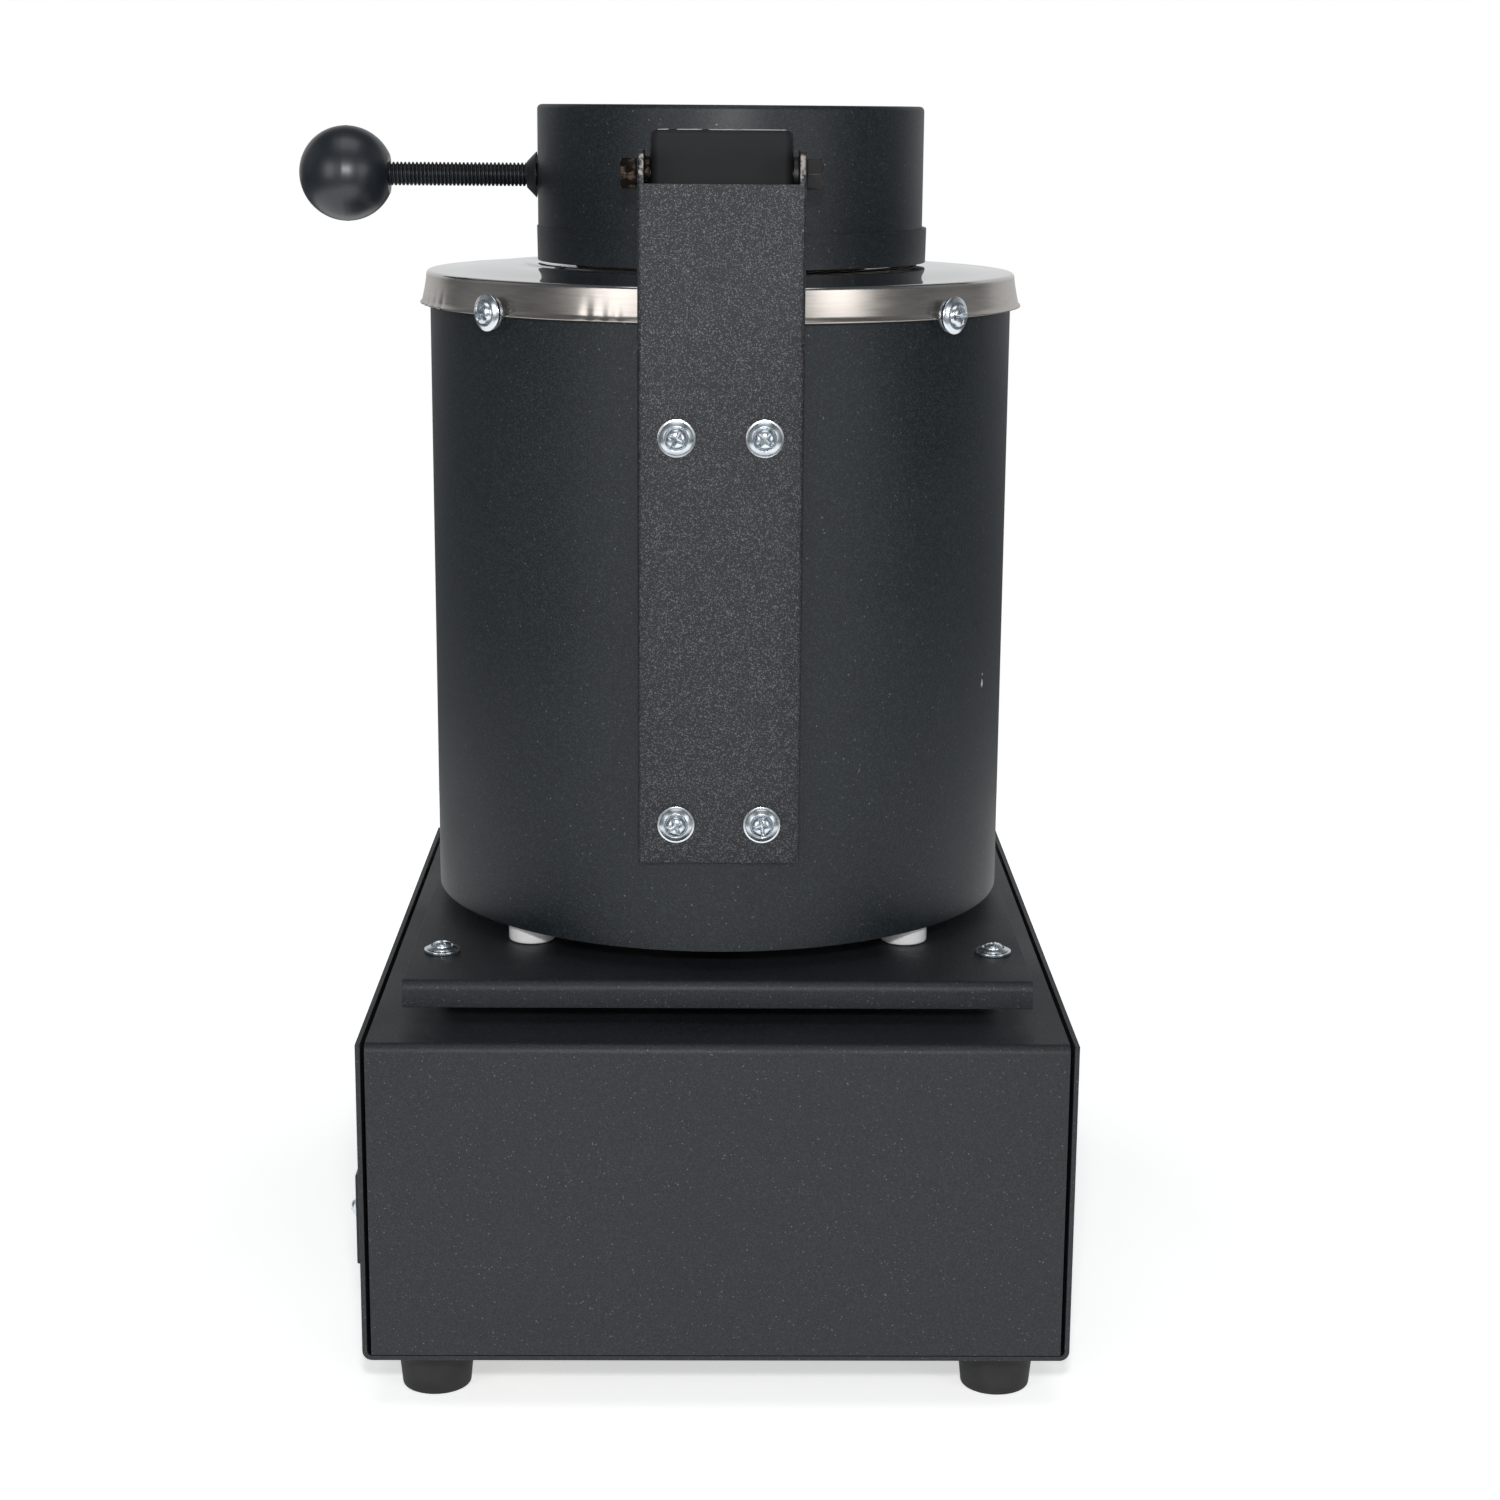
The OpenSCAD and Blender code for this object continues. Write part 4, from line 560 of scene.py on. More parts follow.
# Each row of digits: its height, and where it starts, as shares of the window's height and width.
DIGIT_ROWS = ((9.5 * MM, 0.5, 0.12), (6.5 * MM, 0.12, 0.52))
DIGIT_DEPTH = 0.25 * MM
window_low, window_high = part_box("controller_window")
display_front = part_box("display_board")[0].y - DIGIT_DEPTH
digit_parts = []
for height, low, left in DIGIT_ROWS:
    z = window_low.z + low * (window_high.z - window_low.z)
    x = window_low.x + left * (window_high.x - window_low.x)
    pitch = 0.85 * height
    for column in range(4):
        digit_parts += digit(x + column * pitch, z, 0.5 * height, 0.86 * height, display_front)
make_piece("display_digits", digit_parts, "base", unlit_segment)

MARK_PROUD = 0.04 * MM


def unit_circle(steps):
    """Points round a circle of radius 1."""
    turn = np.linspace(0, 2 * np.pi, steps, endpoint=False)
    return np.stack([np.cos(turn), np.sin(turn)], 1)


key_marks = {
    "set": unit_circle(20),
    "shift": [(-1.2, 0), (0.9, 1.1), (0.9, -1.1)],
    "down": [(0, -1.2), (1.2, 0.9), (-1.2, 0.9)],
    "up": [(0, 1.2), (-1.2, -0.9), (1.2, -0.9)],
}
for name, mark in key_marks.items():
    key, body = "key_" + name, name + "_key"
    rounded_copy(key, body, key_grey, 0.5)
    low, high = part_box(key)
    centre = np.array([(low.x + high.x) / 2, (low.z + high.z) / 2])
    part = prism(centre + np.array(mark) * MM, low.y - MARK_PROUD, 2 * MARK_PROUD)
    make_piece(key + "_mark", [part], body, white_ink)

# Power switch
# Snap-in rocker switch: black nylon bezel, red polycarbonate rocker with printed ON and OFF marks.
red_rocker = moulded_plastic("red_polycarbonate", "#8d1414", "#a11b1b", 0.28)
rounded_copy("switch_housing", "base", black_nylon, 0.4)
rounded_copy("power_rocker", "rocker", red_rocker, 0.4)
switch_joint = next(joint for joint in frame["joints"] if joint["name"] == "power_switch")
pivot = np.array(switch_joint["pos_m"])
ROCKER_TILT = math.radians(10)
# Each half of the rocker's face falls 1.3 mm over 7.6 mm towards its middle.
FACE_SLOPE = math.atan2(1.3, 7.6)
FACE_FRONT = 2.55 * MM
MARK_RISE = 3.9 * MM


def on_rocker(part, half):
    """Moves a mark made on the plane y = 0 to the middle of the upper or lower rocker face."""
    points, faces = part
    y = points[:, 1] - FACE_FRONT - points[:, 2] * math.tan(half * FACE_SLOPE)
    z = points[:, 2] + half * MARK_RISE
    c, s = math.cos(-ROCKER_TILT), math.sin(-ROCKER_TILT)
    return np.stack([points[:, 0], c * y - s * z, s * y + c * z], 1) + pivot, faces


bar = np.array([(-0.25, -1.6), (0.25, -1.6), (0.25, 1.6), (-0.25, 1.6)]) * MM
on_mark = prism(bar, -MARK_PROUD, 2 * MARK_PROUD)
circle = unit_circle(32)
rows = [
    np.stack([r * circle[:, 0], np.full(len(circle), side), r * circle[:, 1]], 1) * (MM, MARK_PROUD, MM)
    for r, side in ((1.1, -1), (1.6, -1), (1.6, 1), (1.1, 1))
]
off_mark = (np.concatenate(rows), quads(4, len(circle), round_rows=True, round_columns=True))
marks = [on_rocker(on_mark, 1), on_rocker(off_mark, -1)]
make_piece("rocker_marks", marks, "rocker", white_ink)

# Indicator lamps
# Two panel lamps: chromed threaded holders, and domed acrylic lenses with faint rings, red and green.
FRONT = (0, -1, 0)
LENS_DOME = 3.3 * MM
LENS_SKIRT = 3.8 * MM
LENS_LIP = 2.4 * MM
RING_DEPTH = 0.09 * MM
RINGS = 5


def lens_acrylic(name, dark, light):
    """Tinted acrylic lens: clear enough to let light in, so that it glows at its edges."""
    material, tree, point = start(name)
    inside = add(tree, "TexVoronoi", {"Vector": point, "Scale": 1 / (1.4 * MM)})
    blend = {0: inside.outputs["Distance"], 6: colour(dark), 7: colour(light)}
    tint = add(tree, "Mix", blend, data_type="RGBA")
    close(tree, {"Base Color": tint, "Roughness": 0.08, "IOR": 1.49, "Transmission Weight": 0.45})
    return material


# Chromium over nickel: a bright mirror, dulled a little by handling.
chrome = mottled("chrome_plate", 3, 3.0, ("#cfd1d3", "#e2e4e6"), (0.06, 0.16), METAL)
rounded_copy("lamp_holders", "base", chrome, 0.25)
for lens, slot, dark, light in (
    ("heat_lamp_lens", "red_lens", "#a01414", "#e04a40"),
    ("power_lamp_lens", "green_lens", "#0f7a34", "#46c46a"),
):
    foot, length, radius = measure(solids(lens)[0], FRONT)
    share = np.linspace(0, 1, 26)
    ripple = RING_DEPTH * np.cos(share * 2 * np.pi * RINGS) * (share < 0.9)
    level = length - LENS_DOME * (1 - np.cos(share * np.pi / 2)) - ripple
    top = np.stack([radius * np.sin(share * np.pi / 2), np.minimum(level, length)], 1)
    stem_r, skirt = radius - LENS_LIP, length - LENS_SKIRT
    outline = np.concatenate([top, [[radius, skirt], [stem_r, skirt], [stem_r, 0], [0, 0]]])
    part = place(revolve(outline, steps=64), foot, FRONT)
    acrylic = lens_acrylic("lens_" + slot, dark, light)
    make_piece(lens + "_finished", [part], "base", acrylic, [lens], crease=60)

# Electrical parts
# On the tray's floor: a solid state relay on an extruded heat sink, a terminal block, an earth screw
# and the leads that join them. The cover closes them in.


def insulated_wire(name, base, light, lay_mm):
    """Lead insulation: the strands below it show as faint turns of lay_mm. A wave node of scale 1 has
    its bands about 0.3 m apart."""
    material, tree, point = start(name)
    strands = add(tree, "TexWave", {"Vector": point, "Scale": 0.3 / (lay_mm * MM), "Distortion": 2.0})
    turns = strands.outputs["Fac"]
    tone = add(tree, "Mix", {0: turns, 6: colour(base), 7: colour(light)}, data_type="RGBA")
    bump = add(tree, "Bump", {"Height": turns, "Strength": 0.2, "Distance": 0.1 * MM})
    close(tree, {"Base Color": tone, "Roughness": 0.45, "IOR": 1.5, "Normal": bump})
    return material


cream_plastic = moulded_plastic("cream_phenolic", "#bdb69f", "#cfc9b4", 0.42)
# Mill-finish extrusion: soft grey metal with fine lines along the die.
aluminium = mottled(
    "extruded_aluminium", 0.8, 3.0, ("#a9acb0", "#c9ccd0"), 0.38, METAL, (1.0, 0.03, 1.0),
    grain=(0.8, 3.0, 0.2, 0.03),
)
rounded_copy("relay_heat_sink", "base", aluminium, 0.25)
rounded_copy("solid_state_relay", "base", cream_plastic, 0.8)
rounded_copy("terminal_block", "base", cream_plastic, 0.4)
fasteners("earth_stud", DOWN, FRAME_DOME, FRAME_SHANK, material=brass)
dress("mains_wiring", insulated_wire("brown_mains_lead", "#5b2c16", "#74401f", 2.0))
dress("heater_wiring", insulated_wire("glass_sleeved_lead", "#c9c1ae", "#ddd6c6", 1.2))
dress("thermocouple_cable", insulated_wire("probe_extension_lead", "#a5611c", "#c27a2c", 1.6))

# Platform
# Bridge-shaped sheet plate that holds the hot tower off the box, on four spacer tubes.
# Its screws have flanged heads and washers; the coat is the box's.
LOW_DOME = 1.65 * MM
rounded_copy("platform_plate", "base", box_coat, 0.25)
rounded_copy("platform_spacers", "base", zinc, 0.2)
fasteners("platform_screws", UP, LOW_DOME, FRAME_SHANK)

# Standoffs
# Four short tubes of white porcelain, with a bolt through each. The glaze rounds their edges.


def glazed_porcelain():
    """White porcelain under a clear glaze: soft inside, glossy outside, with faint grey specks."""
    material, tree, point = start("white_glazed_porcelain")
    speck = add(tree, "TexNoise", {"Vector": point, "Scale": 1 / (0.9 * MM), "Detail": 4.0})
    grey = add(tree, "MapRange", {0: speck, 1: 0.62, 2: 0.8, 3: 0.0, 4: 0.4})
    tone = add(tree, "Mix", {0: grey, 6: colour("#faf9f9"), 7: colour("#d2cec8")}, data_type="RGBA")
    glaze = {"Coat Weight": 0.5, "Coat Roughness": 0.08}
    close(tree, {"Base Color": tone, "Roughness": 0.22, "IOR": 1.54, **glaze})
    return material


porcelain = glazed_porcelain()
BOLT_BORE = 2.15 * MM
GLAZED_EDGE = 0.7 * MM
standoffs = []
for points in solids("ceramic_standoffs"):
    foot, height, radius = measure(points, UP)
    outline = [[BOLT_BORE, height / 2], [BOLT_BORE, height], [radius, height], [radius, 0], [BOLT_BORE, 0]]
    tube = revolve(soften(outline + outline[:1], GLAZED_EDGE), steps=64)
    standoffs.append(place(tube, foot, UP))
make_piece("ceramic_standoffs_finished", standoffs, "base", porcelain, ["ceramic_standoffs"])
fasteners("standoff_bolts", UP, FRAME_DOME, FRAME_SHANK)

# Furnace shell
# Round steel jacket with a floor, coated in a smoother black than the box. Seen from the rear, a small
# chip on the right shows where it was knocked.
CHIPS = ((-67.4, 35.7, 169.2, 0.9), (-67.4, 35.7, 168.4, 0.9), (-67.4, 35.7, 171.2, 0.5))
shell_coat = powder_coat("chipped_powder_coat", *SMOOTH_COAT, CHIPS)
rounded_copy("furnace_shell", "base", shell_coat, 0.3)

# Insulation
# Rigid ceramic fibre board under the chamber and a fibre jacket round it: white, soft and hairy.


def ceramic_fibre():
    """Alumina-silica fibre, vacuum formed: matt white felt with short tangled fibres and shot grains."""
    material, tree, point = start("ceramic_fibre")
    stretch = add(tree, "Mapping", {"Vector": point, "Scale": (1.0, 1.0, 3.0)})
    felt = add(tree, "TexNoise", {"Vector": stretch, "Scale": 1 / (2.2 * MM), "Detail": 6.0})
    soot = add(tree, "TexNoise", {"Vector": point, "Scale": 1 / (22 * MM), "Detail": 4.0})
    tone = add(tree, "Mix", {0: felt, 6: colour("#d5d0c2"), 7: colour("#f0ece1")}, data_type="RGBA")
    warm = add(tree, "MapRange", {0: soot, 1: 0.5, 2: 0.8, 3: 0.0, 4: 0.5})
    tone = add(tree, "Mix", {0: warm, 6: tone, 7: colour("#b9a68a")}, data_type="RGBA")
    bump = add(tree, "Bump", {"Height": felt, "Strength": 0.7, "Distance": 0.6 * MM})
    close(tree, {"Base Color": tone, "Roughness": 0.95, "IOR": 1.45, "Normal": bump})
    return material


fibre = ceramic_fibre()
for node in ("base_board", "insulation_jacket"):
    rounded_copy(node, "base", fibre, 0.8)

# Heating chamber
# A cast refractory tube with the coil wound round it, a brick under the crucible, and a probe below.


def refractory():
    """Cast high-alumina refractory: cream, coarse and matt, with grog grains and iron spots."""
    material, tree, point = start("cast_refractory")
    grog = add(tree, "TexVoronoi", {"Vector": point, "Scale": 1 / (2.4 * MM)})
    sand = add(tree, "TexNoise", {"Vector": point, "Scale": 1 / (0.8 * MM), "Detail": 4.0})
    grains = {0: grog.outputs["Distance"], 6: colour("#cdbf9f"), 7: colour("#e6dcc4")}
    tone = add(tree, "Mix", grains, data_type="RGBA")
    iron = add(tree, "MapRange", {0: sand, 1: 0.64, 2: 0.74, 3: 0.0, 4: 0.7})
    tone = add(tree, "Mix", {0: iron, 6: tone, 7: colour("#8a6a45")}, data_type="RGBA")
    bump = add(tree, "Bump", {"Height": sand, "Strength": 0.5, "Distance": 0.3 * MM})
    close(tree, {"Base Color": tone, "Roughness": 0.9, "IOR": 1.5, "Normal": bump})
    return material


cast_ceramic = refractory()
# Iron-chromium-aluminium wire after its first heat: a dull grey-brown oxide in darker and paler zones.
OXIDE = {"Metallic": 0.8}
alloy = mottled("oxidised_heating_alloy", 5, 4.0, ("#5d5048", "#8c8078"), (0.45, 0.75), OXIDE)
rounded_copy("ceramic_muffle", "base", cast_ceramic, 1.0)
rounded_copy("crucible_pedestal", "base", cast_ceramic, 0.8)
dress("heating_coil", alloy)
rounded_copy("heater_leads", "base", alloy, 0.3)
rounded_copy("thermocouple", "base", alloy, 0.4)
rounded_copy("lead_bushes", "base", porcelain, 0.4)

# Crucible
# Turned from a bar of fine-grain graphite: dark grey with a dull silver sheen and faint tool rings.


def turned_graphite():
    """Graphite: a soft semi-metal sheen, and rings from the lathe every 0.5 mm."""
    material, tree, point = start("turned_graphite")
    lathe = {"Vector": point, "Scale": 0.3125 / (0.5 * MM), "Distortion": 0.4}
    rings = add(tree, "TexWave", lathe, bands_direction="Z")
    smear = add(tree, "TexNoise", {"Vector": point, "Scale": 1 / (8 * MM), "Detail": 4.0})
    tone = add(tree, "Mix", {0: smear, 6: colour("#2a2a2c"), 7: colour("#434346")}, data_type="RGBA")
    rough = add(tree, "MapRange", {0: smear, 3: 0.35, 4: 0.6})
    bump = add(tree, "Bump", {"Height": rings.outputs["Fac"], "Strength": 0.15, "Distance": 0.05 * MM})
    close(tree, {"Base Color": tone, "Metallic": 0.5, "Roughness": rough, "Normal": bump})
    return material


rounded_copy("graphite_crucible", "crucible", turned_graphite(), 0.6)

# Top plate
# A disc of bright 0.6 mm stainless sheet with its rim spun down over the shell. Spinning by hand left
# small crimps in the rim's lower edge. The middle stands 1.9 mm up, with a small step round the lid.
tower_low, tower_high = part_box("furnace_shell")
tower_y = (tower_low.y + tower_high.y) / 2
plate_low, plate_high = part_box("top_plate")
flare_r = (plate_high.x - plate_low.x) / 2
SHEET = 0.6 * MM
RIM_FLARE = 1.8 * MM
RIM_FOLD = 1.0 * MM
RIM_HEM = 0.35 * MM
PLATE_RISE = 1.9 * MM
RIM_STEPS = 900
DENT_REACH = 8 * MM
DENT_DEPTH = 0.42 * MM
CRIMP_DEPTH = 0.4 * MM
CRIMP_LIFT = 0.25 * MM
UNEVEN_DEPTH = 0.1 * MM
DENTS = ((65.7, 1.0), (68.6, 1.1), (71.4, 1.0))
CRIMPS = ((8.5, 0.7), (11.5, 0.6), (14.0, 0.9), (17.5, 0.8), (22.0, 1.0), (26.0, 0.9))


def bright_stainless():
    """Bright-annealed 430 stainless: the flat is a mirror with smears, and spinning dulled the rim. The
    rim's warm brown-grey tone is a painted reflection of warm surroundings.
    """
    material, tree, point = start("bright_stainless")
    smear = add(tree, "TexNoise", {"Vector": point, "Scale": 1 / (22 * MM), "Detail": 4.0})
    lathe = add(tree, "Mapping", {"Vector": point, "Scale": (1.0, 1.0, 12.0)})
    lines = add(tree, "TexNoise", {"Vector": lathe, "Scale": 1 / (7 * MM), "Detail": 4.0})
    level = add(tree, "SeparateXYZ", {0: point}).outputs[2]
    rim_share = add(tree, "MapRange", {0: level, 1: edge_z, 2: edge_z - RIM_FOLD})
    tone = add(tree, "Mix", {0: smear, 6: colour("#b6b4b4"), 7: colour("#cccbcc")}, data_type="RGBA")
    # Painted reflection: the rim's warm brown-grey stands for the warm surroundings it mirrors.
    warm = add(tree, "Mix", {0: lines, 6: colour("#a59e98"), 7: colour("#c9c3bd")}, data_type="RGBA")
    tone = add(tree, "Mix", {0: rim_share, 6: tone, 7: warm}, data_type="RGBA")
    rough = add(tree, "MapRange", {0: rim_share, 3: 0.06, 4: 0.3})
    streak = add(tree, "MapRange", {0: lines, 3: -0.04, 4: 0.04})
    rough = add(tree, "Math", {0: rough, 1: streak}, operation="ADD")
    bump = add(tree, "Bump", {"Height": smear, "Strength": 0.15, "Distance": 0.3 * MM})
    close(tree, {"Base Color": tone, "Metallic": 1.0, "Roughness": rough, "Normal": bump})
    return material


def plate_surface(radius, height, turn):
    """Rim dents and crimps: each is a bell curve about a turn in degrees, deepest at the lower edge.
    Slow sines make the rim uneven."""
    depth = np.clip((plate_high.z - PLATE_RISE - RIM_FOLD - height) / DENT_REACH, 0, 1)
    on_rim = radius > flare_r - RIM_FLARE - 0.5 * MM
    soft = sum(np.exp(-(((np.degrees(turn) - at) / reach) ** 2)) for at, reach in DENTS)
    sharp = sum(np.exp(-(((np.degrees(turn) - at) / reach) ** 2)) for at, reach in CRIMPS)
    uneven = 0.5 + 0.25 * np.sin(turn * 5 + 1) + 0.25 * np.sin(turn * 11)
    dents = depth**2 * DENT_DEPTH * soft
    inwards = on_rim * (dents + depth**3 * CRIMP_DEPTH * sharp + depth * UNEVEN_DEPTH * uneven)
    return radius - inwards, height + on_rim * depth**3 * CRIMP_LIFT * sharp


lid_low, lid_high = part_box("lid_shell")
mouth_r = 39.5 * MM
STEP = 0.35 * MM
STEP_OFF_LID = 0.9 * MM
FLAT_WIDTH = 4.5 * MM
step_r = (lid_high.x - lid_low.x) / 2 + STEP_OFF_LID
flat_r = step_r + FLAT_WIDTH
rim_r = flare_r - RIM_FLARE
edge_z = plate_high.z - PLATE_RISE
fold = [
    (rim_r - RIM_FOLD + RIM_FOLD * math.sin(a), edge_z - RIM_FOLD + RIM_FOLD * math.cos(a))
    for a in np.linspace(0, math.pi / 2, 7)
]
side = np.linspace(0, 0.92, 9)[1:]
rim_drop = edge_z - RIM_FOLD - plate_low.z
rim = [(rim_r + (RIM_FLARE - RIM_HEM) * s**1.3, edge_z - RIM_FOLD - s * rim_drop) for s in side]
rim += [(flare_r - 0.1 * MM, plate_low.z + 0.3 * MM), (flare_r, plate_low.z)]
flat_z = plate_high.z - STEP
flat = [
    (mouth_r, plate_high.z), (step_r, plate_high.z), (step_r + 0.1 * MM, plate_high.z - 0.05 * MM),
    (step_r + 0.4 * MM, flat_z + 0.05 * MM), (step_r + 0.5 * MM, flat_z), (flat_r, flat_z),
]
slope = np.linspace(flat_r, rim_r - RIM_FOLD, 7)[1:-1]
rise = flat_z - edge_z
shoulder = [
    (r, flat_z - rise * (0.5 - 0.5 * math.cos(math.pi * (r - flat_r) / (rim_r - RIM_FOLD - flat_r))))
    for r in slope
]
profile = flat + shoulder + fold + rim
points, faces = revolve(profile, RIM_STEPS, plate_surface)
points[:, 1] += tower_y
bracket_low, bracket_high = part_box("hinge_bracket")
notch_x = (bracket_high.x - bracket_low.x) / 2 - 0.6 * MM
fold_start = len(flat) + len(shoulder)
ring_index = faces[:, 0] // RIM_STEPS
middle = points[faces].mean(1)
behind = (np.abs(middle[:, 0]) < notch_x) & (middle[:, 1] > 0) & (ring_index >= fold_start)
plate = make_piece(
    "top_plate_finished", [(points, faces[~behind])], "base", bright_stainless(),
    ["top_plate"], crease=60,
)


def thicken(piece, sheet):
    """Gives a piece that is one face deep the thickness of its sheet, inwards."""
    solid = piece.modifiers.new("sheet_thickness", "SOLIDIFY")
    solid.thickness = sheet
    solid.offset = -1


def outwards(middle):
    """Direction from the tower's axis to a point, level."""
    away = np.array([middle[0], middle[1] - tower_y, 0])
    return away / np.linalg.norm(away)


thicken(plate, SHEET)
fasteners("rim_screws", outwards, FRAME_DOME, FRAME_SHANK)

# Hinge bracket
# A long strap of 1.5 mm steel with two ears, sprayed with a greyer, sparkling coat. Four screws hold
# it to the shell. The ears' edges are rubbed bare where the lid swings.
REAR = (0, 1, 0)
BACK_PLATE = 162 * MM
RUB_DEPTH = 0.35 * MM
RUB_ABOVE = 0.8 * MM
worn_ears = (bracket_high.y - RUB_DEPTH, bracket_low.z + BACK_PLATE + RUB_ABOVE)
bracket_coat = powder_coat(
    "sparkle_powder_coat", "#05070b", "#181b21", 0.21, 0.6, 0.05, 0.54, 0.25, worn=worn_ears
)
rounded_copy("hinge_bracket", "base", bracket_coat, 0.3)
fasteners("bracket_screws", REAR, FRAME_DOME, FRAME_SHANK)

# Lid
# A pressed steel cup with a hoop round its lower edge, coated like the shell, and a plug of ceramic
# fibre inside that closes the chamber's mouth.
rounded_copy("lid_shell", "lid", body_coat, 0.3)
rounded_copy("lid_band", "lid", body_coat, 0.1)
rounded_copy("lid_liner", "lid", fibre, 0.8)

# Lug
# A U of 1.5 mm sheet welded to the lid's wall. Its flat web faces the rear, in dull black paint that
# has worn through along the top edge.
LUG_SHEET = 1.5 * MM
LUG_BEND = 2.2 * MM
LUG_CORNER = 2.0 * MM
WORN_EDGE = 0.36 * MM


def dull_paint():
    """Brushed-on dull black: a thin even film, with bare steel in streaks along the top edge."""
    material, tree, point = start("dull_black_paint")
    film = add(tree, "TexNoise", {"Vector": point, "Scale": 1 / (6 * MM), "Detail": 3.0})
    streak = add(tree, "Mapping", {"Vector": point, "Scale": (1.0, 6.0, 6.0)})
    wear = add(tree, "TexNoise", {"Vector": streak, "Scale": 1 / (5 * MM), "Detail": 4.0})
    worn = add(tree, "Math", {0: wear, 1: 0.47}, operation="GREATER_THAN")
    height = add(tree, "SeparateXYZ", {0: point}).outputs[2]
    top_edge = add(tree, "Math", {0: height, 1: lug_high.z - WORN_EDGE}, operation="GREATER_THAN")
    bare = add(tree, "Math", {0: worn, 1: top_edge}, operation="MULTIPLY")
    paint = add(tree, "Mix", {0: film, 6: colour("#0b0c0f"), 7: colour("#131417")}, data_type="RGBA")
    tone = add(tree, "Mix", {0: bare, 6: paint, 7: colour("#d8d8d4")}, data_type="RGBA")
    close(tree, {"Base Color": tone, "Metallic": bare, "Roughness": 0.75, "IOR": 1.5})
    return material


lug_low, lug_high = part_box("hinge_lug")
lid_middle = np.array([(lid_low.x + lid_high.x) / 2, (lid_low.y + lid_high.y) / 2])
lid_r = (lid_high.x - lid_low.x) / 2
half_w = lug_high.x


def wall_y(x):
    """Where the lid's wall is at x, from the circle's equation."""
    return lid_middle[1] + math.sqrt(lid_r**2 - (x - lid_middle[0]) ** 2)


bends = [
    (sign * (half_w - LUG_BEND + LUG_BEND * math.sin(a)), lug_high.y - LUG_BEND + LUG_BEND * math.cos(a))
    for sign in (-1, 1)
    for a in (np.linspace(math.pi / 2, 0, 9) if sign < 0 else np.linspace(0, math.pi / 2, 9))
]
path = np.array([(-half_w, wall_y(-half_w))] + bends + [(half_w, wall_y(half_w))])
levels = np.linspace(0, 1, 13)
sides = np.clip((np.abs(path[:, 0]) - (half_w - 2 * LUG_CORNER)) / (2 * LUG_CORNER), 0, 1)
top_z = lug_high.z - LUG_CORNER * (1 - np.sqrt(np.clip(1 - sides**2, 0, 1))) * 0.8
grid = np.zeros((len(path), len(levels), 3))
grid[..., :2] = path[:, None]
grid[..., 2] = lug_low.z + levels[None] * (top_z[:, None] - lug_low.z)
lug = make_piece(
    "hinge_lug_finished", [(grid.reshape(-1, 3), quads(len(path), len(levels)))], "lid",
    dull_paint(), ["hinge_lug"], crease=50,
)
thicken(lug, LUG_SHEET)

# Pivot
# Two M4 hexagon screws through the ears, tapped into the lug, with steel washers between. The ones
# towards the handle have lost their paint.


def bare_and_black():
    """Worn steel: brown bare metal on the handle's side, with paler copper patches painted on as glints,
    and black paint on the other.
    """
    material, tree, point = start("worn_hexagon_steel_painted_glints")
    rub = add(tree, "TexNoise", {"Vector": point, "Scale": 1 / (1.8 * MM), "Detail": 4.0})
    side_of = add(tree, "SeparateXYZ", {0: point})
    handle_side = add(tree, "Math", {0: side_of, 1: 0.0}, operation="GREATER_THAN")
    # Painted glints: paler copper-brown patches in the bare steel stand for small glints of light.
    painted_glint = add(tree, "MapRange", {0: rub, 1: 0.5, 2: 0.68})
    steel = add(tree, "Mix", {0: painted_glint, 6: colour("#14110f"), 7: colour("#5d4e43")}, data_type="RGBA")
    tone = add(tree, "Mix", {0: handle_side, 6: colour("#0b0b0c"), 7: steel}, data_type="RGBA")
    metal = add(tree, "Math", {0: handle_side, 1: 0.9}, operation="MULTIPLY")
    close(tree, {"Base Color": tone, "Metallic": metal, "Roughness": 0.5})
    return material


hex_steel = bare_and_black()
PIVOT_HEAD = 4 * MM
PIVOT_SHANK = 2 * MM
PIVOT_TIP = 0.4 * MM
pivot_parts = []
for points in solids("pivot_screws"):
    up = sideways(points.mean(0))
    foot, length, radius = measure(points, up)
    neck = length - PIVOT_HEAD
    head = hexagon(PIVOT_HEAD, radius, 0)
    pivot_parts.append(place(head, foot + up * neck, up, turn=math.radians(90)))
    point = [[0, 0], [PIVOT_SHANK - PIVOT_TIP, 0], [PIVOT_SHANK, PIVOT_TIP]]
    shank = revolve(point + [[PIVOT_SHANK, neck], [0, neck]], steps=48)
    pivot_parts.append(place(shank, foot, up))
make_piece("pivot_screws_finished", pivot_parts, "lid", hex_steel, ["pivot_screws"])
rounded_copy("pivot_washers", "base", hex_steel, 0.15)

# Handle
# An M6 stud, blackened, with a nut on each side of the lid's wall, and a moulded phenolic ball.
handle_way = (1, 0, 0)
THREAD_DEPTH = 0.55 * MM
THREAD_PITCH = 1 * MM
STUD_STEPS = 32
NUT_BORE = 3.06 * MM
NUT_FOOT = 0.1 * MM
CONE_HEIGHT = 2.5 * MM
CONE_TOP = 3.3 * MM
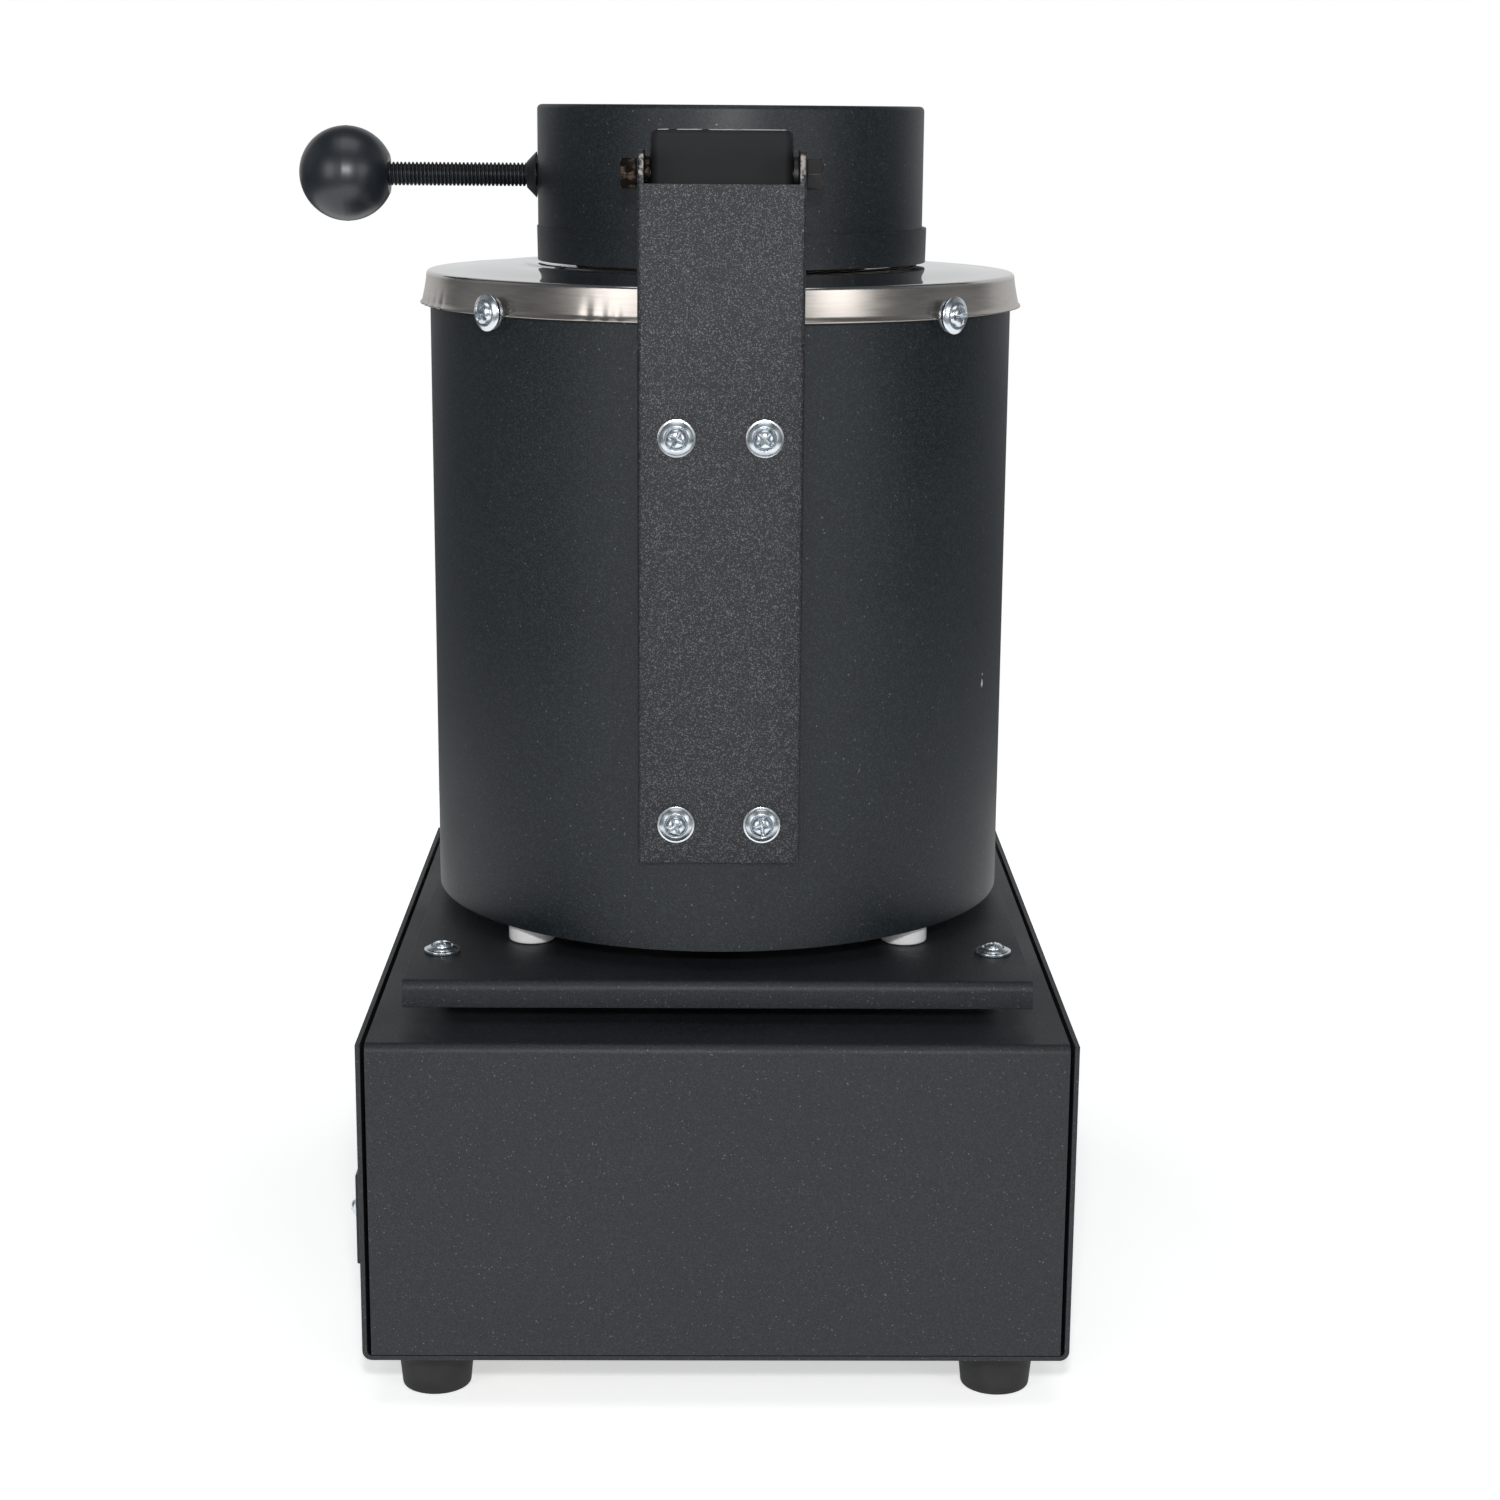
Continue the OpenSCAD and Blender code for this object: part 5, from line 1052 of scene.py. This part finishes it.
# Black-oxide steel: blue-black, and rubbed a little brighter in places.
BLACKING = {"Metallic": 0.6}
oxide_steel = mottled("black_oxide_steel", 2.5, 4.0, ("#1e2023", "#34373b"), (0.35, 0.55), BLACKING)
foot, length, radius = measure(solids("handle_rod")[0], handle_way)
core_r = radius - THREAD_DEPTH
stud = thread(core_r, THREAD_DEPTH, THREAD_PITCH, 0, length, STUD_STEPS, samples=10)
ends = [revolve([[0, height], [core_r, height]], STUD_STEPS) for height in (0, length)]
rod_parts = [place(part, foot, handle_way) for part in [stud, *ends]]
make_piece("handle_rod_finished", rod_parts, "lid", oxide_steel, ["handle_rod"])
nut_parts = []
for points in solids("handle_nuts"):
    foot, length, radius = measure(points, handle_way)
    if foot[0] > lid_high.x - 2 * MM:
        foot_ring = [[NUT_BORE, 0], [radius, 0], [radius, NUT_FOOT]]
        nut = revolve(foot_ring + [[CONE_TOP, CONE_HEIGHT], [NUT_BORE, CONE_HEIGHT]], steps=48)
    else:
        nut = hexagon(length, radius, NUT_BORE)
    nut_parts.append(place(nut, foot, handle_way, turn=math.radians(8)))
make_piece("handle_nuts_finished", nut_parts, "lid", oxide_steel, ["handle_nuts"])

# Polished black phenolic resin: a soft gloss with a faint orange peel from the mould.
phenolic = mottled(
    "polished_phenolic", 9, 4.0, ("#171c22", "#1f252c"), (0.3, 0.4), {"IOR": 1.6},
    grain=(4, 2.0, 0.06, 0.1),
)
foot, length, radius = measure(solids("ball_knob")[0], handle_way)
face_r = 5.06 * MM
KNOB_SEAM = 0.07 * MM
SEAM_WIDTH = 0.35 * MM
MOUTH_R = 3.2 * MM
MOUTH_EDGE = 0.2 * MM
middle_height = length - radius
sphere = []
for a in np.linspace(0, math.pi - math.asin(face_r / radius), 61):
    seam = KNOB_SEAM * math.exp(-(((a - math.pi / 2) * radius / SEAM_WIDTH) ** 2))
    sphere.append([(radius - KNOB_SEAM + seam) * math.sin(a), middle_height + radius * math.cos(a)])
edge = [[face_r, 0], [MOUTH_R, 0], [NUT_BORE, MOUTH_EDGE]]
bore = [[NUT_BORE, middle_height], [0, middle_height]]
knob = revolve(np.concatenate([sphere, edge, bore]), steps=96)
make_piece(
    "ball_knob_finished", [place(knob, foot, handle_way)], "lid", phenolic,
    ["ball_knob"], crease=50,
)

# Studio
# A pale floor, a soft box on each side of the camera and one overhead, a small lamp over the camera, a
# wide sheet of light beyond the furnace that the steel plate mirrors, and a weak panel on each side.


def pale_floor():
    """Smooth white paper, lit from below as well, and more so far out, so that no horizon shows."""
    material, tree, point = start("pale_paper")
    fibres = add(tree, "TexNoise", {"Vector": point, "Scale": 20.0, "Detail": 3.0})
    tone = add(tree, "Mix", {0: fibres, 6: colour("#f2f2f2"), 7: colour("#f8f8f8")}, data_type="RGBA")
    away = add(tree, "VectorMath", {0: point}, operation="LENGTH").outputs["Value"]
    glow = add(tree, "MapRange", {0: away, 1: GLOW_FROM, 2: GLOW_TO, 3: FLOOR_GLOW, 4: EDGE_GLOW})
    lit = {"Emission Color": (1.0, 1.0, 1.0, 1.0), "Emission Strength": glow}
    close(tree, {"Base Color": tone, "Roughness": 0.9, **lit})
    return material


FLOOR_REACH = 0.55
FLOOR_GLOW = 0.54
EDGE_GLOW = 0.78
GLOW_FROM = 0.14
GLOW_TO = 0.36
floor_points, floor_faces = revolve([[0, 0], [FLOOR_REACH, 0]], steps=96)
floor_mesh = bpy.data.meshes.new("studio_floor")
floor_mesh.from_pydata(floor_points.tolist(), [], floor_faces[:, ::-1].tolist())
floor_mesh.validate()
floor_mesh.materials.append(pale_floor())
floor = bpy.data.objects.new("studio_floor", floor_mesh)
bpy.context.scene.collection.objects.link(floor)

# The air lights the furnace weakly. Only the camera sees it as white paper.
world = bpy.data.worlds.new("studio_air")
world.use_nodes = True
world.node_tree.nodes.clear()
seen = add(world.node_tree, "LightPath").outputs["Is Camera Ray"]
air = add(world.node_tree, "Background", {"Color": (0.88, 0.95, 1.0, 1.0), "Strength": 0.12})
paper = add(world.node_tree, "Background", {"Color": (1.0, 1.0, 1.0, 1.0), "Strength": 1.0})
mixed = add(world.node_tree, "MixShader", {0: seen, 1: air, 2: paper})
add(world.node_tree, "OutputWorld", {"Surface": mixed})
bpy.context.scene.world = world

LOOK_AT = np.array([0.0, 0.0, 0.15])
PANELS = {
    "left_softbox": (38, 13, 1.6, 0.6, 0.8, 4.6),
    "right_softbox": (-44, 12, 1.6, 0.5, 0.8, 4.2),
    "camera_lamp": (0, 21, 0.79, 0.05, 0.05, 2.4),
    "backdrop": (184, 18, 2.6, 6.6, 2.0, 26.0),
    "left_fill": (100, 25, 1.8, 1.0, 1.2, 0.7),
    "right_fill": (-100, 25, 1.8, 1.0, 1.2, 0.7),
    "top_softbox": (0, 78, 1.4, 1.0, 0.8, 4.0),
}
for name, (side_angle, rise_angle, distance, width, height, watts) in PANELS.items():
    light = bpy.data.lights.new(name, "AREA")
    light.shape = "RECTANGLE"
    light.size = width
    light.size_y = height
    light.energy = watts
    panel = bpy.data.objects.new(name, light)
    a, b = math.radians(side_angle), math.radians(rise_angle)
    away = np.array([math.sin(a) * math.cos(b), math.cos(a) * math.cos(b), math.sin(b)])
    panel.location = LOOK_AT + distance * away
    panel.rotation_euler = (math.pi / 2 - b, 0, math.pi - a)
    panel.visible_camera = False
    bpy.context.scene.collection.objects.link(panel)

# Camera
# A long lens behind the furnace, a little above the lid's top, turned down to see the plate.
CAMERA_PLACE = np.array([1.67, 735.44, 311.08]) * MM
CAMERA_DOWN = 0.2250
CAMERA_TURN = 0.0139
CAMERA_ROLL = 0.0074
FOCAL_PIXELS = 2787.8
PHOTO_PIXELS = 1500

camera_data = bpy.data.cameras.new("camera")
camera_data.sensor_width = 36.0
camera_data.lens = FOCAL_PIXELS / PHOTO_PIXELS * camera_data.sensor_width
camera_data.clip_start = 0.01
forward = np.array([
    -math.sin(CAMERA_TURN) * math.cos(CAMERA_DOWN),
    -math.cos(CAMERA_TURN) * math.cos(CAMERA_DOWN),
    -math.sin(CAMERA_DOWN),
])
level_right = np.array([-math.cos(CAMERA_TURN), math.sin(CAMERA_TURN), 0])
level_up = np.cross(level_right, forward)
right = level_right * math.cos(CAMERA_ROLL) + level_up * math.sin(CAMERA_ROLL)
up = level_up * math.cos(CAMERA_ROLL) - level_right * math.sin(CAMERA_ROLL)
camera = bpy.data.objects.new("camera", camera_data)
matrix = np.eye(4)
matrix[:3, 0], matrix[:3, 1], matrix[:3, 2], matrix[:3, 3] = right, up, -forward, CAMERA_PLACE
camera.matrix_world = matrix.T.tolist()
bpy.context.scene.collection.objects.link(camera)
bpy.context.scene.camera = camera
bpy.context.scene.view_settings.view_transform = "Standard"
